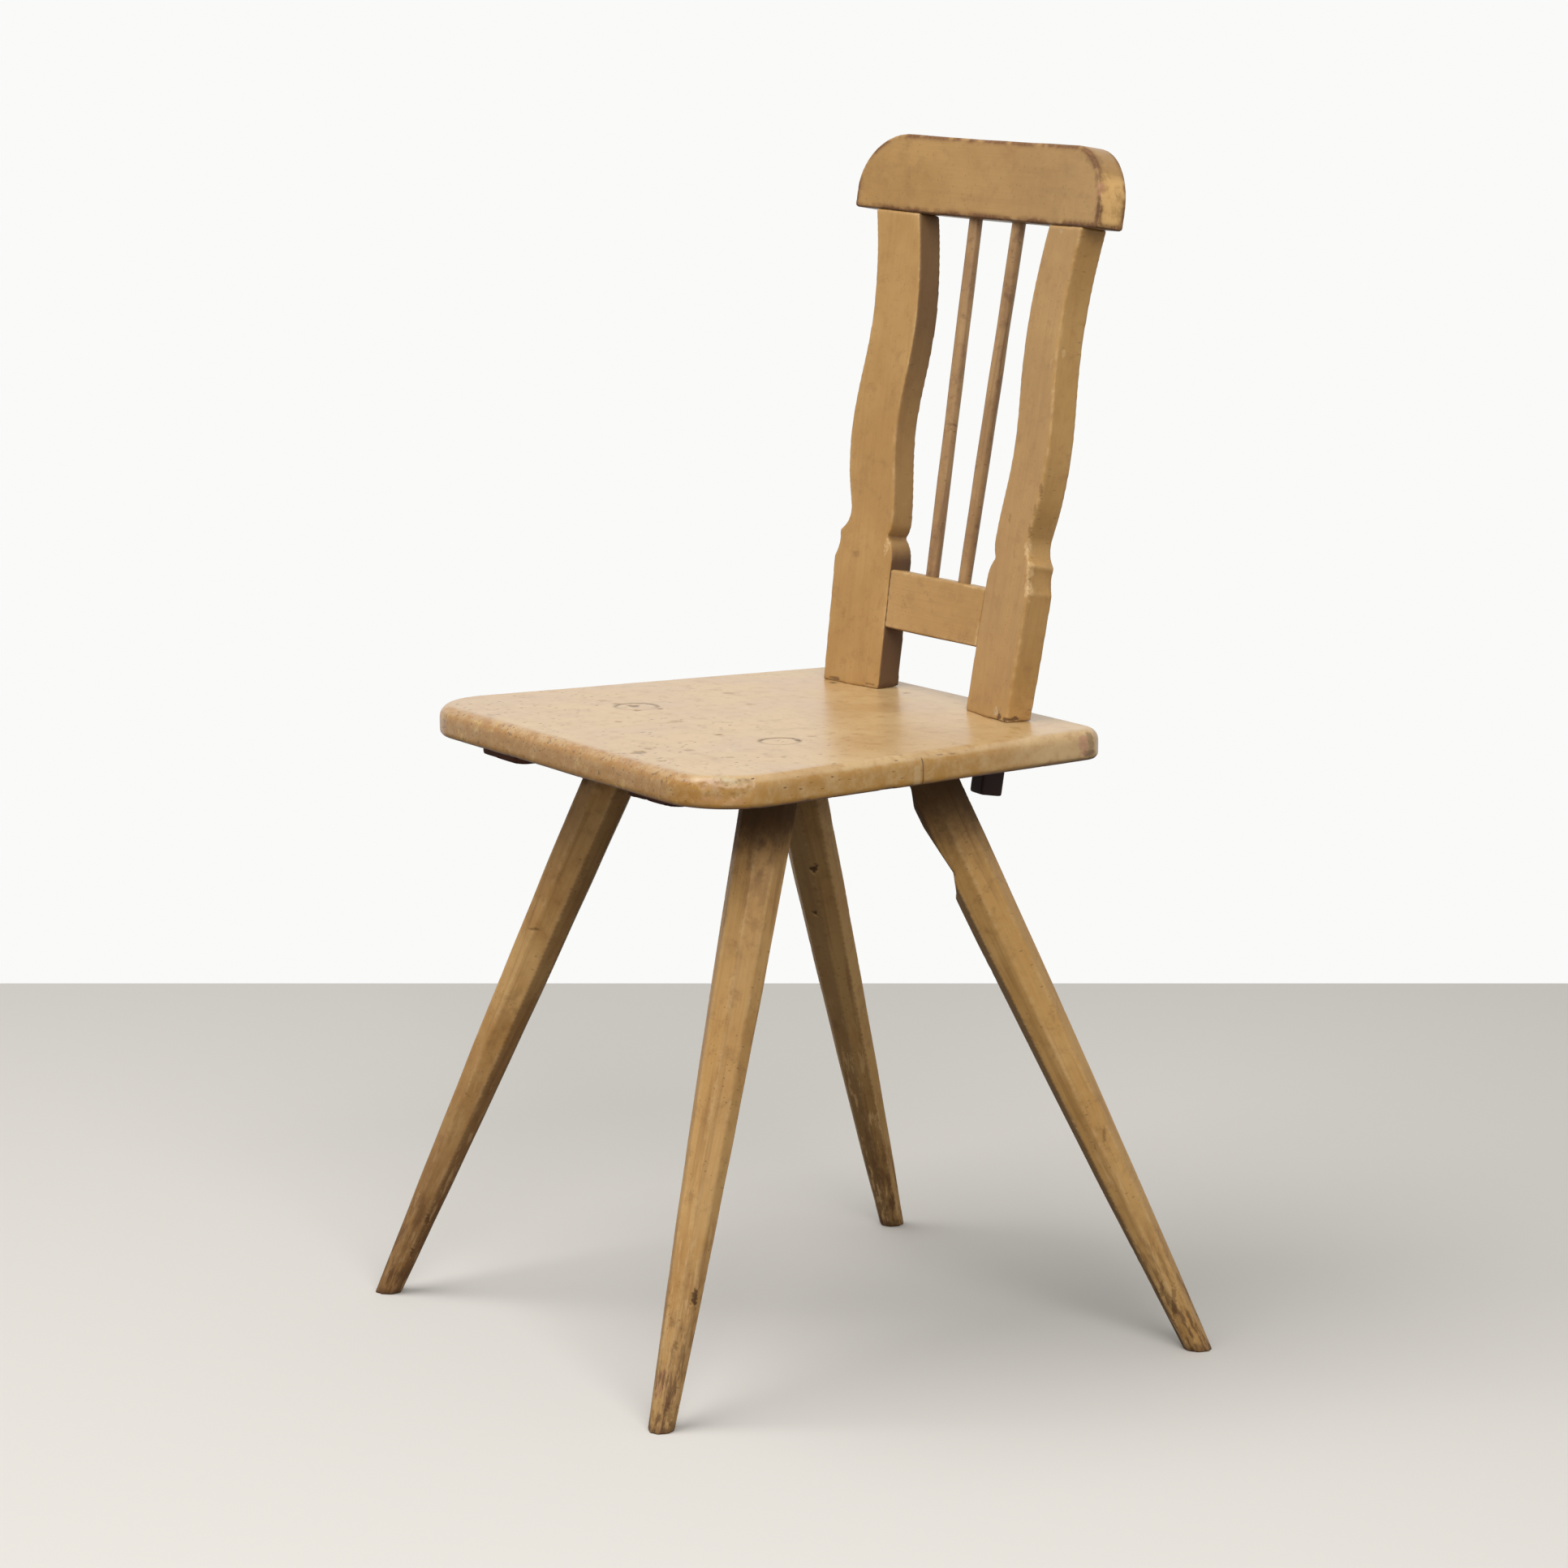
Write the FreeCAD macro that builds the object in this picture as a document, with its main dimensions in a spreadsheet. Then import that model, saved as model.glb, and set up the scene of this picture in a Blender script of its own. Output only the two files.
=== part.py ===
import FreeCAD, Part
import math
import os
import Sketcher
from FreeCAD import Placement, Rotation, Vector

# A wooden board chair: a two-board plank seat on two dovetailed battens, four splayed
# eight-sided legs with round wedged tenons, and a leaning open back whose two serpentine
# posts are tenoned through the seat and keyed under the battens.
#
# Frame: millimetres, +Z up, the front faces -Y, +X is the sitter's left hand.
# The origin is on the floor, in the middle of the four feet.

doc = FreeCAD.newDocument("BoardChair")

# Driving dimensions: alias, value, meaning

SIZES = (
    ("seat_height", 450, "floor to the top of the seat"),
    ("seat_thickness", 22, "plank"),
    ("seat_front_width", 408, "across the front edge before rounding"),
    ("seat_back_width", 342, "across the rear edge before rounding"),
    ("seat_depth", 353, "front edge to rear edge"),
    ("seat_reach", 192.5, "front edge ahead of the middle of the feet"),
    ("front_board_depth", 183.5, "depth of the front board, up to the glued joint"),
    ("front_corner_radius", 50, "plan rounding of the front corners"),
    ("back_corner_radius", 20, "plan rounding of the rear corners"),
    ("seat_top_round", 9, "rounding of the top edge"),
    ("seat_bottom_bevel", 2.5, "bevel of the bottom edge"),
    ("batten_spacing", 184, "between the battens' centre lines, over the middle of the feet"),
    ("batten_toe_angle", 2.3, "degrees each batten turns in towards the rear"),
    ("batten_width", 66, "below the seat"),
    ("batten_drop", 8, "batten below the underside of the seat"),
    ("batten_bevel", 2, "long lower edges of a batten"),
    ("left_nose_setback", 17, "left batten's nose behind the seat's front edge"),
    ("right_nose_setback", 13, "right batten's nose behind the seat's front edge"),
    ("batten_rear_setback", 5, "batten's tail ahead of the seat's rear edge"),
    ("nose_radius", 12, "plan rounding of a batten's front corners"),
    ("dovetail_depth", 9, "batten's tongue let into the seat"),
    ("dovetail_neck", 40, "tongue's width at the underside of the seat"),
    ("dovetail_head", 44, "tongue's width at its top"),
    ("fit_clearance", 0.15, "gap between the walls of a joint, each side"),
    ("front_socket_inset", 117.5, "front legs' sockets behind the seat's front edge"),
    ("rear_socket_inset", 101.5, "rear legs' sockets ahead of the seat's rear edge"),
    ("front_socket_shift", 3, "front sockets outside their batten's centre line"),
    ("rear_socket_shift", -2, "rear sockets outside their batten's centre line, so inside it"),
    ("foot_spread", 195, "feet from the chair's middle plane"),
    ("foot_shift", 26.5, "front feet stray to one side, rear feet to the other"),
    ("foot_reach", 210, "feet ahead of and behind the origin"),
    ("leg_top_width", 37.2, "across flats where a leg meets its batten"),
    ("leg_belly_width", 27.8, "across flats at a leg's slight swelling"),
    ("leg_belly_height", 170, "swelling above the foot, along the leg"),
    ("leg_foot_width", 17, "across flats at the floor"),
    ("leg_tenon_radius", 14.5, "round tenon through batten and seat"),
    ("leg_tenon_root", 20, "tenon's length drawn inside the leg"),
    ("wedge_depth", 19, "leg wedge, thick end to thin end"),
    ("wedge_head", 3.2, "leg wedge's thickness at the top of the seat"),
    ("wedge_tip", 1.2, "leg wedge's thickness at its thin end"),
    ("front_left_turn_angle", 0.75, "degrees a leg's faces are turned about its axis, facet to the front"),
    ("front_right_turn_angle", 28.5, "degrees, as above"),
    ("rear_left_turn_angle", 9.0, "degrees, as above"),
    ("rear_right_turn_angle", 3.0, "degrees, as above"),
    ("hollow_facing_angle", 33, "degrees from the front towards the chair's middle that the hollow faces"),
    ("hollow_depth", 5, "waney hollow in the rear leg's arris"),
    ("hollow_low", 336, "height of the hollow's abrupt lower end"),
    ("hollow_deep", 350, "height where the hollow is deepest"),
    ("hollow_high", 384, "height where the hollow runs out"),
    ("shoulder_cut_depth", 8, "arris cut back where that leg meets the batten"),
    ("shoulder_cut_low", 398, "height where that cut starts"),
    ("back_lean_angle", 9.1, "degrees the back leans from upright"),
    ("back_inset", 42.5, "posts' inner front arrises ahead of the seat's rear edge"),
    ("post_turn_angle", 7.8, "degrees each post's face turns in towards the sitter"),
    ("post_height", 351, "seat to the underside of the crest rail, along the post"),
    ("post_gap", 115, "between the posts at seat level"),
    ("post_width", 62, "post across its face at seat level"),
    ("post_thickness", 20.5, "posts, front to back"),
    ("post_tenon_offset", 27, "lower tenon's middle from the post's inner edge"),
    ("post_tenon_width", 18, "lower tenon across the post"),
    ("post_tenon_thickness", 17, "lower tenon, front to back"),
    ("post_tenon_length", 56, "lower tenon below the top of the seat"),
    ("key_length", 36, "key through a post's lower tenon"),
    ("key_width", 6, "key, front to back"),
    ("key_head", 8, "key's height at its thick end"),
    ("key_tip", 6, "key's height at its thin end"),
    ("crest_width", 301, "crest rail, end to end"),
    ("crest_height", 57, "crest rail, along the lean of the back"),
    ("crest_thickness", 24, "crest rail, front to back"),
    ("crest_setback", 0.5, "crest rail's middle behind the posts' inner front arrises"),
    ("crest_bow", 14.8, "crest rail's ends ahead of its middle"),
    ("crest_corner_width", 48, "rounded upper corner, along the rail"),
    ("crest_corner_height", 44, "rounded upper corner, up the rail"),
    ("crest_arris", 1.2, "bevel of the crest rail's edges"),
    ("crest_tenon_width", 30, "post's upper tenon, across"),
    ("crest_tenon_thickness", 9, "post's upper tenon, front to back"),
    ("crest_tenon_length", 28, "post's upper tenon, up into the crest rail"),
    ("rail_height", 43, "cross rail"),
    ("rail_rise", 46, "cross rail's underside above the seat, along the post"),
    ("rail_thickness", 17, "cross rail, front to back"),
    ("rail_tenon_height", 28, "cross rail's tenons"),
    ("rail_tenon_thickness", 8, "cross rail's tenons, front to back"),
    ("rail_tenon_length", 24, "cross rail's tenons, into the posts"),
    ("rail_reach", 14, "cross rail's blank past the posts' inner edges, before scribing"),
    ("spindle_diameter", 10, "both spindles"),
    ("spindle_setback", 10, "spindles' axes behind the posts' inner front arrises"),
    ("spindle_low_gap", 40, "between the spindles' axes at the cross rail"),
    ("spindle_high_gap", 54, "between the spindles' axes at the crest rail"),
    ("spindle_hold", 12, "spindle's length let into each rail"),
    ("overrun", 4, "how far every cutting tool runs past the wood"),
)

sheet = doc.addObject("Spreadsheet::Sheet", "Sizes")
for row, (alias, value, meaning) in enumerate(SIZES, start=1):
    sheet.set("A%d" % row, alias)
    sheet.set("B%d" % row, str(value))
    sheet.set("C%d" % row, meaning)
    sheet.setAlias("B%d" % row, alias)
doc.recompute()


def size(alias):
    """Value of one driving dimension, read back from the sheet."""
    return float(sheet.get(alias))


# Shapes of the sawn outlines, as shares of the sizes that they follow

# Post edges: (share of post_height above the seat, share of post_width outward from the inner base)
INNER_STRAIGHT_SHARES = ((0.0, -0.024), (0.277, 0.045))
INNER_BEAD_SHARES = ((0.277, 0.045), (0.3014, 0.0935), (0.3186, 0.184))
INNER_CUSP_SHARES = ((0.3186, 0.184), (0.3314, 0.142), (0.3543, 0.121))
INNER_SWEEP_SHARES = (
    (0.3543, 0.121), (0.383, 0.1355), (0.4286, 0.177), (0.474, 0.2226), (0.52, 0.257), (0.56, 0.267),
    (0.614, 0.2516), (0.686, 0.204), (0.757, 0.179), (0.814, 0.187), (0.886, 0.235), (0.943, 0.2935),
    (1.0, 0.374),
)
OUTER_SWEEP_SHARES = (
    (1.0, 1.145), (0.943, 1.069), (0.886, 1.010), (0.829, 0.9726), (0.766, 0.961), (0.686, 0.992),
    (0.629, 1.035), (0.56, 1.066), (0.52, 1.0625), (0.474, 1.0355), (0.4286, 0.988), (0.394, 0.9306),
    (0.3714, 0.890),
)
OUTER_COVE_SHARES = ((0.3714, 0.890), (0.343, 0.903), (0.3186, 1.029))
OUTER_BEAD_SHARES = ((0.3186, 1.029), (0.2905, 1.0085), (0.2623, 1.066))
OUTER_STRAIGHT_SHARES = ((0.2623, 1.066), (0.0, 0.968))


# Frames

UP = Vector(0, 0, 1)
underside = size("seat_height") - size("seat_thickness")
batten_bottom = underside - size("batten_drop")
seat_front = -size("seat_reach")
seat_back = seat_front + size("seat_depth")
back_frame = Placement(
    Vector(0, seat_back - size("back_inset"), size("seat_height")),
    Rotation(Vector(1, 0, 0), -size("back_lean_angle")),
)


def shifted(frame, x, y, z):
    """The frame moved along its own axes."""
    return frame.multiply(Placement(Vector(x, y, z), Rotation()))


def world(x, y, z):
    """A placement with the world's axes."""
    return Placement(Vector(x, y, z), Rotation())


def post_frame(side):
    """Frame at the inner foot of a post, its face turned in towards the sitter."""
    frame = shifted(back_frame, side * size("post_gap") / 2, 0, 0)
    return frame.multiply(Placement(Vector(), Rotation(UP, -side * size("post_turn_angle"))))


def batten_frame(side):
    """Frame on a batten's centre line at the underside of the seat, Y towards the rear."""
    middle = Vector(side * size("batten_spacing") / 2, 0, underside)
    return Placement(middle, Rotation(UP, side * size("batten_toe_angle")))


# Small building steps

def bind(thing, **formulas):
    """Tie properties of an object to cells of the sheet."""
    for name, formula in formulas.items():
        thing.setExpression(name, formula)
    return thing


def box(name, frame, length, width, height):
    """A box centred on the frame in X and Y, standing on it; its sizes are formulas."""
    block = doc.addObject("Part::Box", name)
    bind(block, Length=length, Width=width, Height=height)
    doc.recompute()
    half_x = block.Length.Value / 2
    half_y = block.Width.Value / 2
    block.Placement = shifted(frame, -half_x, -half_y, 0)
    return block


def cylinder(name, frame, radius, height):
    """A cylinder along the frame's Z axis; its sizes are formulas."""
    rod = doc.addObject("Part::Cylinder", name)
    bind(rod, Radius=radius, Height=height)
    rod.Placement = frame
    return rod


def fuse(name, pieces):
    """All the pieces as one solid."""
    whole = doc.addObject("Part::MultiFuse", name)
    whole.Shapes = pieces
    return whole


def common(name, base, tool):
    """What the base and the tool share."""
    overlap = doc.addObject("Part::Common", name)
    overlap.Base = base
    overlap.Tool = tool
    return overlap


def cut(name, base, tool):
    """The base without the tool."""
    rest = doc.addObject("Part::Cut", name)
    rest.Base = base
    rest.Tool = tool
    return rest


def chain_polygon(sketch, corners):
    """A closed outline whose corners are tied to the sheet; corners are pairs of formulas."""
    places = []
    for x_formula, y_formula in corners:
        places.append(Vector(sheet_value(x_formula), sheet_value(y_formula), 0))
    count = len(places)
    for i in range(count):
        sketch.addGeometry(Part.LineSegment(places[i], places[(i + 1) % count]))
    for i in range(count):
        sketch.addConstraint(Sketcher.Constraint("Coincident", i, 2, (i + 1) % count, 1))
    for i, (x_formula, y_formula) in enumerate(corners):
        for kind, formula, coordinate in (
            ("DistanceX", x_formula, places[i].x),
            ("DistanceY", y_formula, places[i].y),
        ):
            index = sketch.addConstraint(Sketcher.Constraint(kind, -1, 1, i, 1, coordinate))
            label = "corner%d%s" % (i, kind)
            sketch.renameConstraint(index, label)
            sketch.setExpression("Constraints." + label, formula)
    return sketch


def sheet_value(formula):
    """Number that a formula of the sheet's cells gives."""
    return float(sheet.evalExpression(formula.replace("Sizes.", "")))


def chain_curves(sketch, curves):
    """A closed outline of lines, arcs and splines, held where the sheet's values put it."""
    for curve in curves:
        sketch.addGeometry(curve)
    count = len(curves)
    for i in range(count):
        sketch.addConstraint(Sketcher.Constraint("Block", i))
    return sketch


def drawing(name, frame):
    """A sketch in the frame's XZ plane; what is extruded from it goes along the frame's +Y."""
    sketch = doc.addObject("Sketcher::SketchObject", name)
    sketch.Placement = frame.multiply(Placement(Vector(), Rotation(Vector(1, 0, 0), 90)))
    return sketch


def extrude(name, sketch, length, away=True, symmetric=False):
    """Solid drawn from the sketch, away from its normal or along it; length is a formula."""
    solid = doc.addObject("Part::Extrusion", name)
    solid.Base = sketch
    solid.DirMode = "Normal"
    solid.Solid = True
    solid.Reversed = away
    solid.Symmetric = symmetric
    bind(solid, LengthFwd=length)
    return solid


# Seat plank, before its joints are cut

def seat_plank():
    """Trapezoid plank with rounded corners, a round top edge and a small lower bevel."""
    body = doc.addObject("PartDesign::Body", "SeatPlank")
    floor_plane = [f for f in body.Origin.OriginFeatures if f.Role == "XY_Plane"][0]
    outline = body.newObject("Sketcher::SketchObject", "SeatOutline")
    outline.AttachmentSupport = (floor_plane, "")
    outline.MapMode = "FlatFace"
    chain_polygon(outline, (
        ("-Sizes.seat_front_width / 2", "-Sizes.seat_reach"),
        ("Sizes.seat_front_width / 2", "-Sizes.seat_reach"),
        ("Sizes.seat_back_width / 2", "Sizes.seat_depth - Sizes.seat_reach"),
        ("-Sizes.seat_back_width / 2", "Sizes.seat_depth - Sizes.seat_reach"),
    ))
    pad = body.newObject("PartDesign::Pad", "SeatPad")
    pad.Profile = outline
    bind(pad, Length="Sizes.seat_thickness")
    body.Placement = world(0, 0, underside)
    doc.recompute()

    def rounding(kind, name, formula, test):
        base = body.Tip
        picked = []
        for number, edge in enumerate(base.Shape.Edges, start=1):
            if test(edge):
                picked.append("Edge%d" % number)
        feature = body.newObject("PartDesign::" + kind, name)
        feature.Base = (base, picked)
        bind(feature, **{"Radius" if kind == "Fillet" else "Size": formula})
        doc.recompute()

    thickness = size("seat_thickness")
    slack = size("fit_clearance")

    def level(edge, height):
        return all(abs(v.Point.z - height) < slack for v in edge.Vertexes)

    def upright(edge):
        return not level(edge, 0) and not level(edge, thickness)

    rounding("Fillet", "FrontCorners", "Sizes.front_corner_radius",
             lambda edge: upright(edge) and edge.CenterOfMass.y < 0)
    rounding("Fillet", "RearCorners", "Sizes.back_corner_radius",
             lambda edge: upright(edge) and edge.Length > slack and edge.CenterOfMass.y > 0)
    rounding("Fillet", "TopRound", "Sizes.seat_top_round", lambda edge: level(edge, thickness))
    rounding("Chamfer", "BottomBevel", "Sizes.seat_bottom_bevel", lambda edge: level(edge, 0))
    return body


# Battens

def batten_nose(word):
    """Distance of a batten's front end along its centre line."""
    return seat_front + size(word + "_nose_setback")


def batten_section(name, word, side, widening):
    """Section across a batten: dovetail tongue over a flat body, or the groove for the tongue."""
    gap = " + %s * Sizes.fit_clearance" % widening
    half_width = "(Sizes.batten_width / 2)"
    half_neck = "(Sizes.dovetail_neck / 2" + gap + ")"
    half_head = "(Sizes.dovetail_head / 2" + gap + ")"
    start = batten_nose(word) - widening * size("fit_clearance")
    sketch = drawing(name, shifted(batten_frame(side), 0, start, 0))
    if widening:
        corners = (
            ("-" + half_neck, "-Sizes.overrun"),
            (half_neck, "-Sizes.overrun"),
            (half_neck, "0"),
            (half_head, "Sizes.dovetail_depth" + gap),
            ("-" + half_head, "Sizes.dovetail_depth" + gap),
            ("-" + half_neck, "0"),
        )
    else:
        corners = (
            ("-" + half_width, "0"),
            ("-" + half_width, "Sizes.batten_bevel - Sizes.batten_drop"),
            ("Sizes.batten_bevel - " + half_width, "-Sizes.batten_drop"),
            (half_width + " - Sizes.batten_bevel", "-Sizes.batten_drop"),
            (half_width, "Sizes.batten_bevel - Sizes.batten_drop"),
            (half_width, "0"),
            (half_neck, "0"),
            (half_head, "Sizes.dovetail_depth"),
            ("-" + half_head, "Sizes.dovetail_depth"),
            ("-" + half_neck, "0"),
        )
    return chain_polygon(sketch, corners)


def batten_plan(name, word, side):
    """Outline of a batten from above, its front corners rounded."""
    half = size("batten_width") / 2
    nose = batten_nose(word)
    tail = seat_back - size("batten_rear_setback")
    radius = size("nose_radius")
    inset = radius * (1 - math.cos(math.radians(45)))
    corners = (
        Vector(-half, tail, 0),
        Vector(-half, nose + radius, 0),
        Vector(inset - half, nose + inset, 0),
        Vector(radius - half, nose, 0),
        Vector(half - radius, nose, 0),
        Vector(half - inset, nose + inset, 0),
        Vector(half, nose + radius, 0),
        Vector(half, tail, 0),
    )
    sketch = doc.addObject("Sketcher::SketchObject", name)
    sketch.Placement = shifted(batten_frame(side), 0, 0, -size("batten_drop"))
    return chain_curves(sketch, (
        Part.LineSegment(corners[0], corners[1]),
        Part.Arc(corners[1], corners[2], corners[3]),
        Part.LineSegment(corners[3], corners[4]),
        Part.Arc(corners[4], corners[5], corners[6]),
        Part.LineSegment(corners[6], corners[7]),
        Part.LineSegment(corners[7], corners[0]),
    ))


def batten_blank(word, side):
    """A batten before its leg and post holes are cut."""
    section = batten_section("BattenSection_" + word, word, side, 0)
    along = extrude("BattenAlong_" + word, section, "Sizes.seat_depth")
    plan = batten_plan("BattenPlan_" + word, word, side)
    down = extrude("BattenDown_" + word, plan, "Sizes.batten_drop + Sizes.dovetail_depth", away=False)
    return common("BattenBlank_" + word, along, down)


def batten_housing(word, side):
    """Groove for the tongue, stopped behind the front edge and open at the rear edge."""
    section = batten_section("HousingSection_" + word, word, side, 1)
    return extrude("Housing_" + word, section, "Sizes.seat_depth")


# Legs

def leg_frame(side, end):
    """Frame on the floor at a foot, Z up the leg's axis; end is -1 in front and 1 at the rear."""
    foot = Vector(
        side * size("foot_spread") + end * size("foot_shift"),
        end * size("foot_reach"),
        0,
    )
    if end < 0:
        y = seat_front + size("front_socket_inset")
        shift = size("front_socket_shift")
    else:
        y = seat_back - size("rear_socket_inset")
        shift = size("rear_socket_shift")
    x = size("batten_spacing") / 2 - y * math.tan(math.radians(size("batten_toe_angle"))) + shift
    axis = Vector(side * x, y, batten_bottom) - foot
    return Placement(foot, Rotation(UP, axis)), axis.Length


def leg_width(along, length):
    """Width of a leg across its flats at a distance along it from the foot."""
    foot = size("leg_foot_width")
    belly = size("leg_belly_width")
    top = size("leg_top_width")
    knee = size("leg_belly_height")
    if along < knee:
        return foot + (belly - foot) * along / knee
    return belly + (top - belly) * (along - knee) / (length - knee)


def leg_blank(word, frame, length):
    """Eight-sided taper with a slight swelling, longer than the leg at both ends."""
    extra = size("leg_top_width")
    around = Placement(Vector(), Rotation(UP, size(word + "_turn_angle")))
    sections = []
    for tag, along in (("Foot", -extra), ("Belly", size("leg_belly_height")), ("Top", length + extra)):
        ring = doc.addObject("Part::RegularPolygon", "Leg%s_%s" % (tag, word))
        ring.Polygon = 8
        ring.Circumradius = leg_width(along, length) / 2 / math.cos(math.pi / ring.Polygon)
        ring.Placement = shifted(frame, 0, 0, along).multiply(around)
        sections.append(ring)
    taper = doc.addObject("Part::Loft", "LegTaper_" + word)
    taper.Sections = sections
    taper.Solid = True
    taper.Ruled = False
    return taper


def leg_tenon(name, frame, length, widening):
    """Round tenon, or with a widening its bore, from inside the leg to above the seat."""
    start = shifted(frame, 0, 0, length - size("leg_tenon_root"))
    radius = "Sizes.leg_tenon_radius + %s * Sizes.fit_clearance" % widening
    return cylinder(name, start, radius, "Sizes.seat_thickness * 2 + Sizes.leg_tenon_root * 2")


def leg_wedge_blank(name, frame, length, widening):
    """Tapered wedge in the tenon's end, thick at the top of the seat."""
    wedge = doc.addObject("Part::Wedge", name)
    tip = size("wedge_tip") / 2 + widening * size("fit_clearance")
    head = size("wedge_head") / 2 + widening * size("fit_clearance")
    depth = size("wedge_depth")
    rise = (size("seat_height") - batten_bottom) / frame.Rotation.multVec(UP).z
    past = size("leg_tenon_radius")
    spread = head + (head - tip) * past / depth
    reach = size("leg_tenon_radius") + size("overrun")
    wedge.Ymin = 0
    wedge.Ymax = depth + past
    wedge.Xmin = -tip
    wedge.Xmax = tip
    wedge.X2min = -spread
    wedge.X2max = spread
    wedge.Zmin = -reach
    wedge.Zmax = reach
    wedge.Z2min = -reach
    wedge.Z2max = reach
    upright = Placement(Vector(), Rotation(Vector(1, 0, 0), 90))
    wedge.Placement = shifted(frame, 0, 0, length + rise - depth).multiply(upright)
    return wedge


def waney_cutter(frame, length):
    """Hollow and shoulder cut on the arris that faces the front and the middle of the chair."""
    up = frame.Rotation.multVec(UP)
    facing = math.radians(size("hollow_facing_angle"))
    inward = Vector(-math.sin(facing), -math.cos(facing), 0)
    inward = inward - up * inward.dot(up)
    rotation = Rotation(inward, up, inward.cross(up), "YXZ")
    run = size("leg_top_width")

    def spot(height, depth):
        along = height / up.z
        return Vector(leg_width(along, length) / 2 - depth, along, 0)

    beyond = spot(batten_bottom, size("shoulder_cut_depth"))
    points = (
        spot(size("hollow_low"), 0),
        spot(size("hollow_deep"), size("hollow_depth")),
        spot(size("hollow_high"), 0),
        spot(size("shoulder_cut_low"), 0),
        beyond,
        Vector(beyond.x, beyond.y + run, 0),
        Vector(beyond.x + run, beyond.y + run, 0),
        Vector(beyond.x + run, size("hollow_low"), 0),
    )
    lines = []
    for i in range(len(points)):
        lines.append(Part.LineSegment(points[i], points[(i + 1) % len(points)]))
    sketch = doc.addObject("Sketcher::SketchObject", "WaneProfile")
    sketch.Placement = Placement(frame.Base, rotation)
    chain_curves(sketch, lines)
    return extrude("WaneCutter", sketch, "Sizes.leg_top_width * 2", symmetric=True)


# Back

def post_point(side, shares):
    """A point of a post's outline in the plane of its face."""
    height_share, width_share = shares
    return Vector(side * width_share * size("post_width"), height_share * size("post_height"), 0)


def spline(points):
    """A smooth curve through the points."""
    curve = Part.BSplineCurve()
    curve.interpolate(points)
    return curve


def post_outline(name, side):
    """Face of a post: straight foot, bead and cusp on both edges, then a serpentine sweep."""
    def place(shares):
        return [post_point(side, pair) for pair in shares]

    below = Vector(0, -size("post_thickness"), 0)
    inner_foot, inner_end = place(INNER_STRAIGHT_SHARES)
    inner_sweep = place(INNER_SWEEP_SHARES)
    outer_sweep = place(OUTER_SWEEP_SHARES)
    outer_end, outer_foot = place(OUTER_STRAIGHT_SHARES)
    curves = [
        Part.LineSegment(inner_foot + below, inner_foot),
        Part.LineSegment(inner_foot, inner_end),
        Part.Arc(*place(INNER_BEAD_SHARES)),
        Part.Arc(*place(INNER_CUSP_SHARES)),
        spline(inner_sweep),
        Part.LineSegment(inner_sweep[-1], outer_sweep[0]),
        spline(outer_sweep),
        Part.Arc(*place(OUTER_COVE_SHARES)),
        Part.Arc(*place(OUTER_BEAD_SHARES)),
        Part.LineSegment(outer_end, outer_foot),
        Part.LineSegment(outer_foot, outer_foot + below),
        Part.LineSegment(outer_foot + below, inner_foot + below),
    ]
    return chain_curves(drawing(name, post_frame(side)), curves)


def post_tenon(name, side, widening, depth):
    """Lower tenon, or with a widening its mortise; depth is a formula."""
    out = side * size("post_tenon_offset")
    frame = shifted(post_frame(side), out, size("post_thickness") / 2, -sheet_value(depth))
    gap = " + %s * Sizes.fit_clearance * 2" % widening
    return box(
        name, frame,
        "Sizes.post_tenon_width" + gap,
        "Sizes.post_tenon_thickness" + gap,
        depth + " + Sizes.post_tenon_thickness",
    )


def crest_tenon(name, side, widening):
    """Upper tenon, or with a widening its mortise in the crest rail."""
    inner = post_point(side, INNER_SWEEP_SHARES[-1])
    outer = post_point(side, OUTER_SWEEP_SHARES[0])
    root = size("post_height") - size("overrun")
    frame = shifted(post_frame(side), (inner.x + outer.x) / 2, size("post_thickness") / 2, root)
    gap = " + %s * Sizes.fit_clearance" % widening
    return box(
        name, frame,
        "Sizes.crest_tenon_width" + gap + " * 2",
        "Sizes.crest_tenon_thickness" + gap + " * 2",
        "Sizes.crest_tenon_length + Sizes.overrun" + gap,
    )


def rail_tenon(name, widening):
    """One bar for both tenons of the cross rail, or with a widening for their mortises."""
    gap = widening * size("fit_clearance")
    rise = size("rail_rise") + (size("rail_height") - size("rail_tenon_height")) / 2 - gap
    frame = shifted(back_frame, 0, size("rail_thickness") / 2, rise)
    return box(
        name, frame,
        "Sizes.post_gap + (Sizes.rail_tenon_length + %s * Sizes.fit_clearance) * 2" % widening,
        "Sizes.rail_tenon_thickness + %s * Sizes.fit_clearance * 2" % widening,
        "Sizes.rail_tenon_height + %s * Sizes.fit_clearance * 2" % widening,
    )


def post_key(name, side, widening):
    """Tapered key under a batten, through the post's tenon, or with a widening its slot."""
    gap = widening * size("fit_clearance")
    half = size("key_length") / 2
    key = doc.addObject("Part::Wedge", name)
    key.Xmin = 0
    key.Xmax = size("key_tip") + gap
    key.X2min = 0
    key.X2max = size("key_head") + gap
    key.Ymin = -half
    key.Ymax = half
    key.Zmin = -size("key_width") / 2 - gap
    key.Zmax = size("key_width") / 2 + gap
    key.Z2min = key.Zmin
    key.Z2max = key.Zmax
    frame = post_frame(side)
    middle = frame.multVec(Vector(side * size("post_tenon_offset"), size("post_thickness") / 2, 0))
    down = frame.Rotation.multVec(UP)
    middle = middle - down * ((middle.z - batten_bottom + size("key_head") / 2) / down.z)
    lying = Rotation(Vector(0, 0, -1), Vector(side, 0, 0), Vector(0, -side, 0), "XYZ")
    turn = Rotation(UP, -side * size("post_turn_angle")).multiply(lying)
    key.Placement = Placement(Vector(middle.x, middle.y, batten_bottom), turn)
    return key


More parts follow.
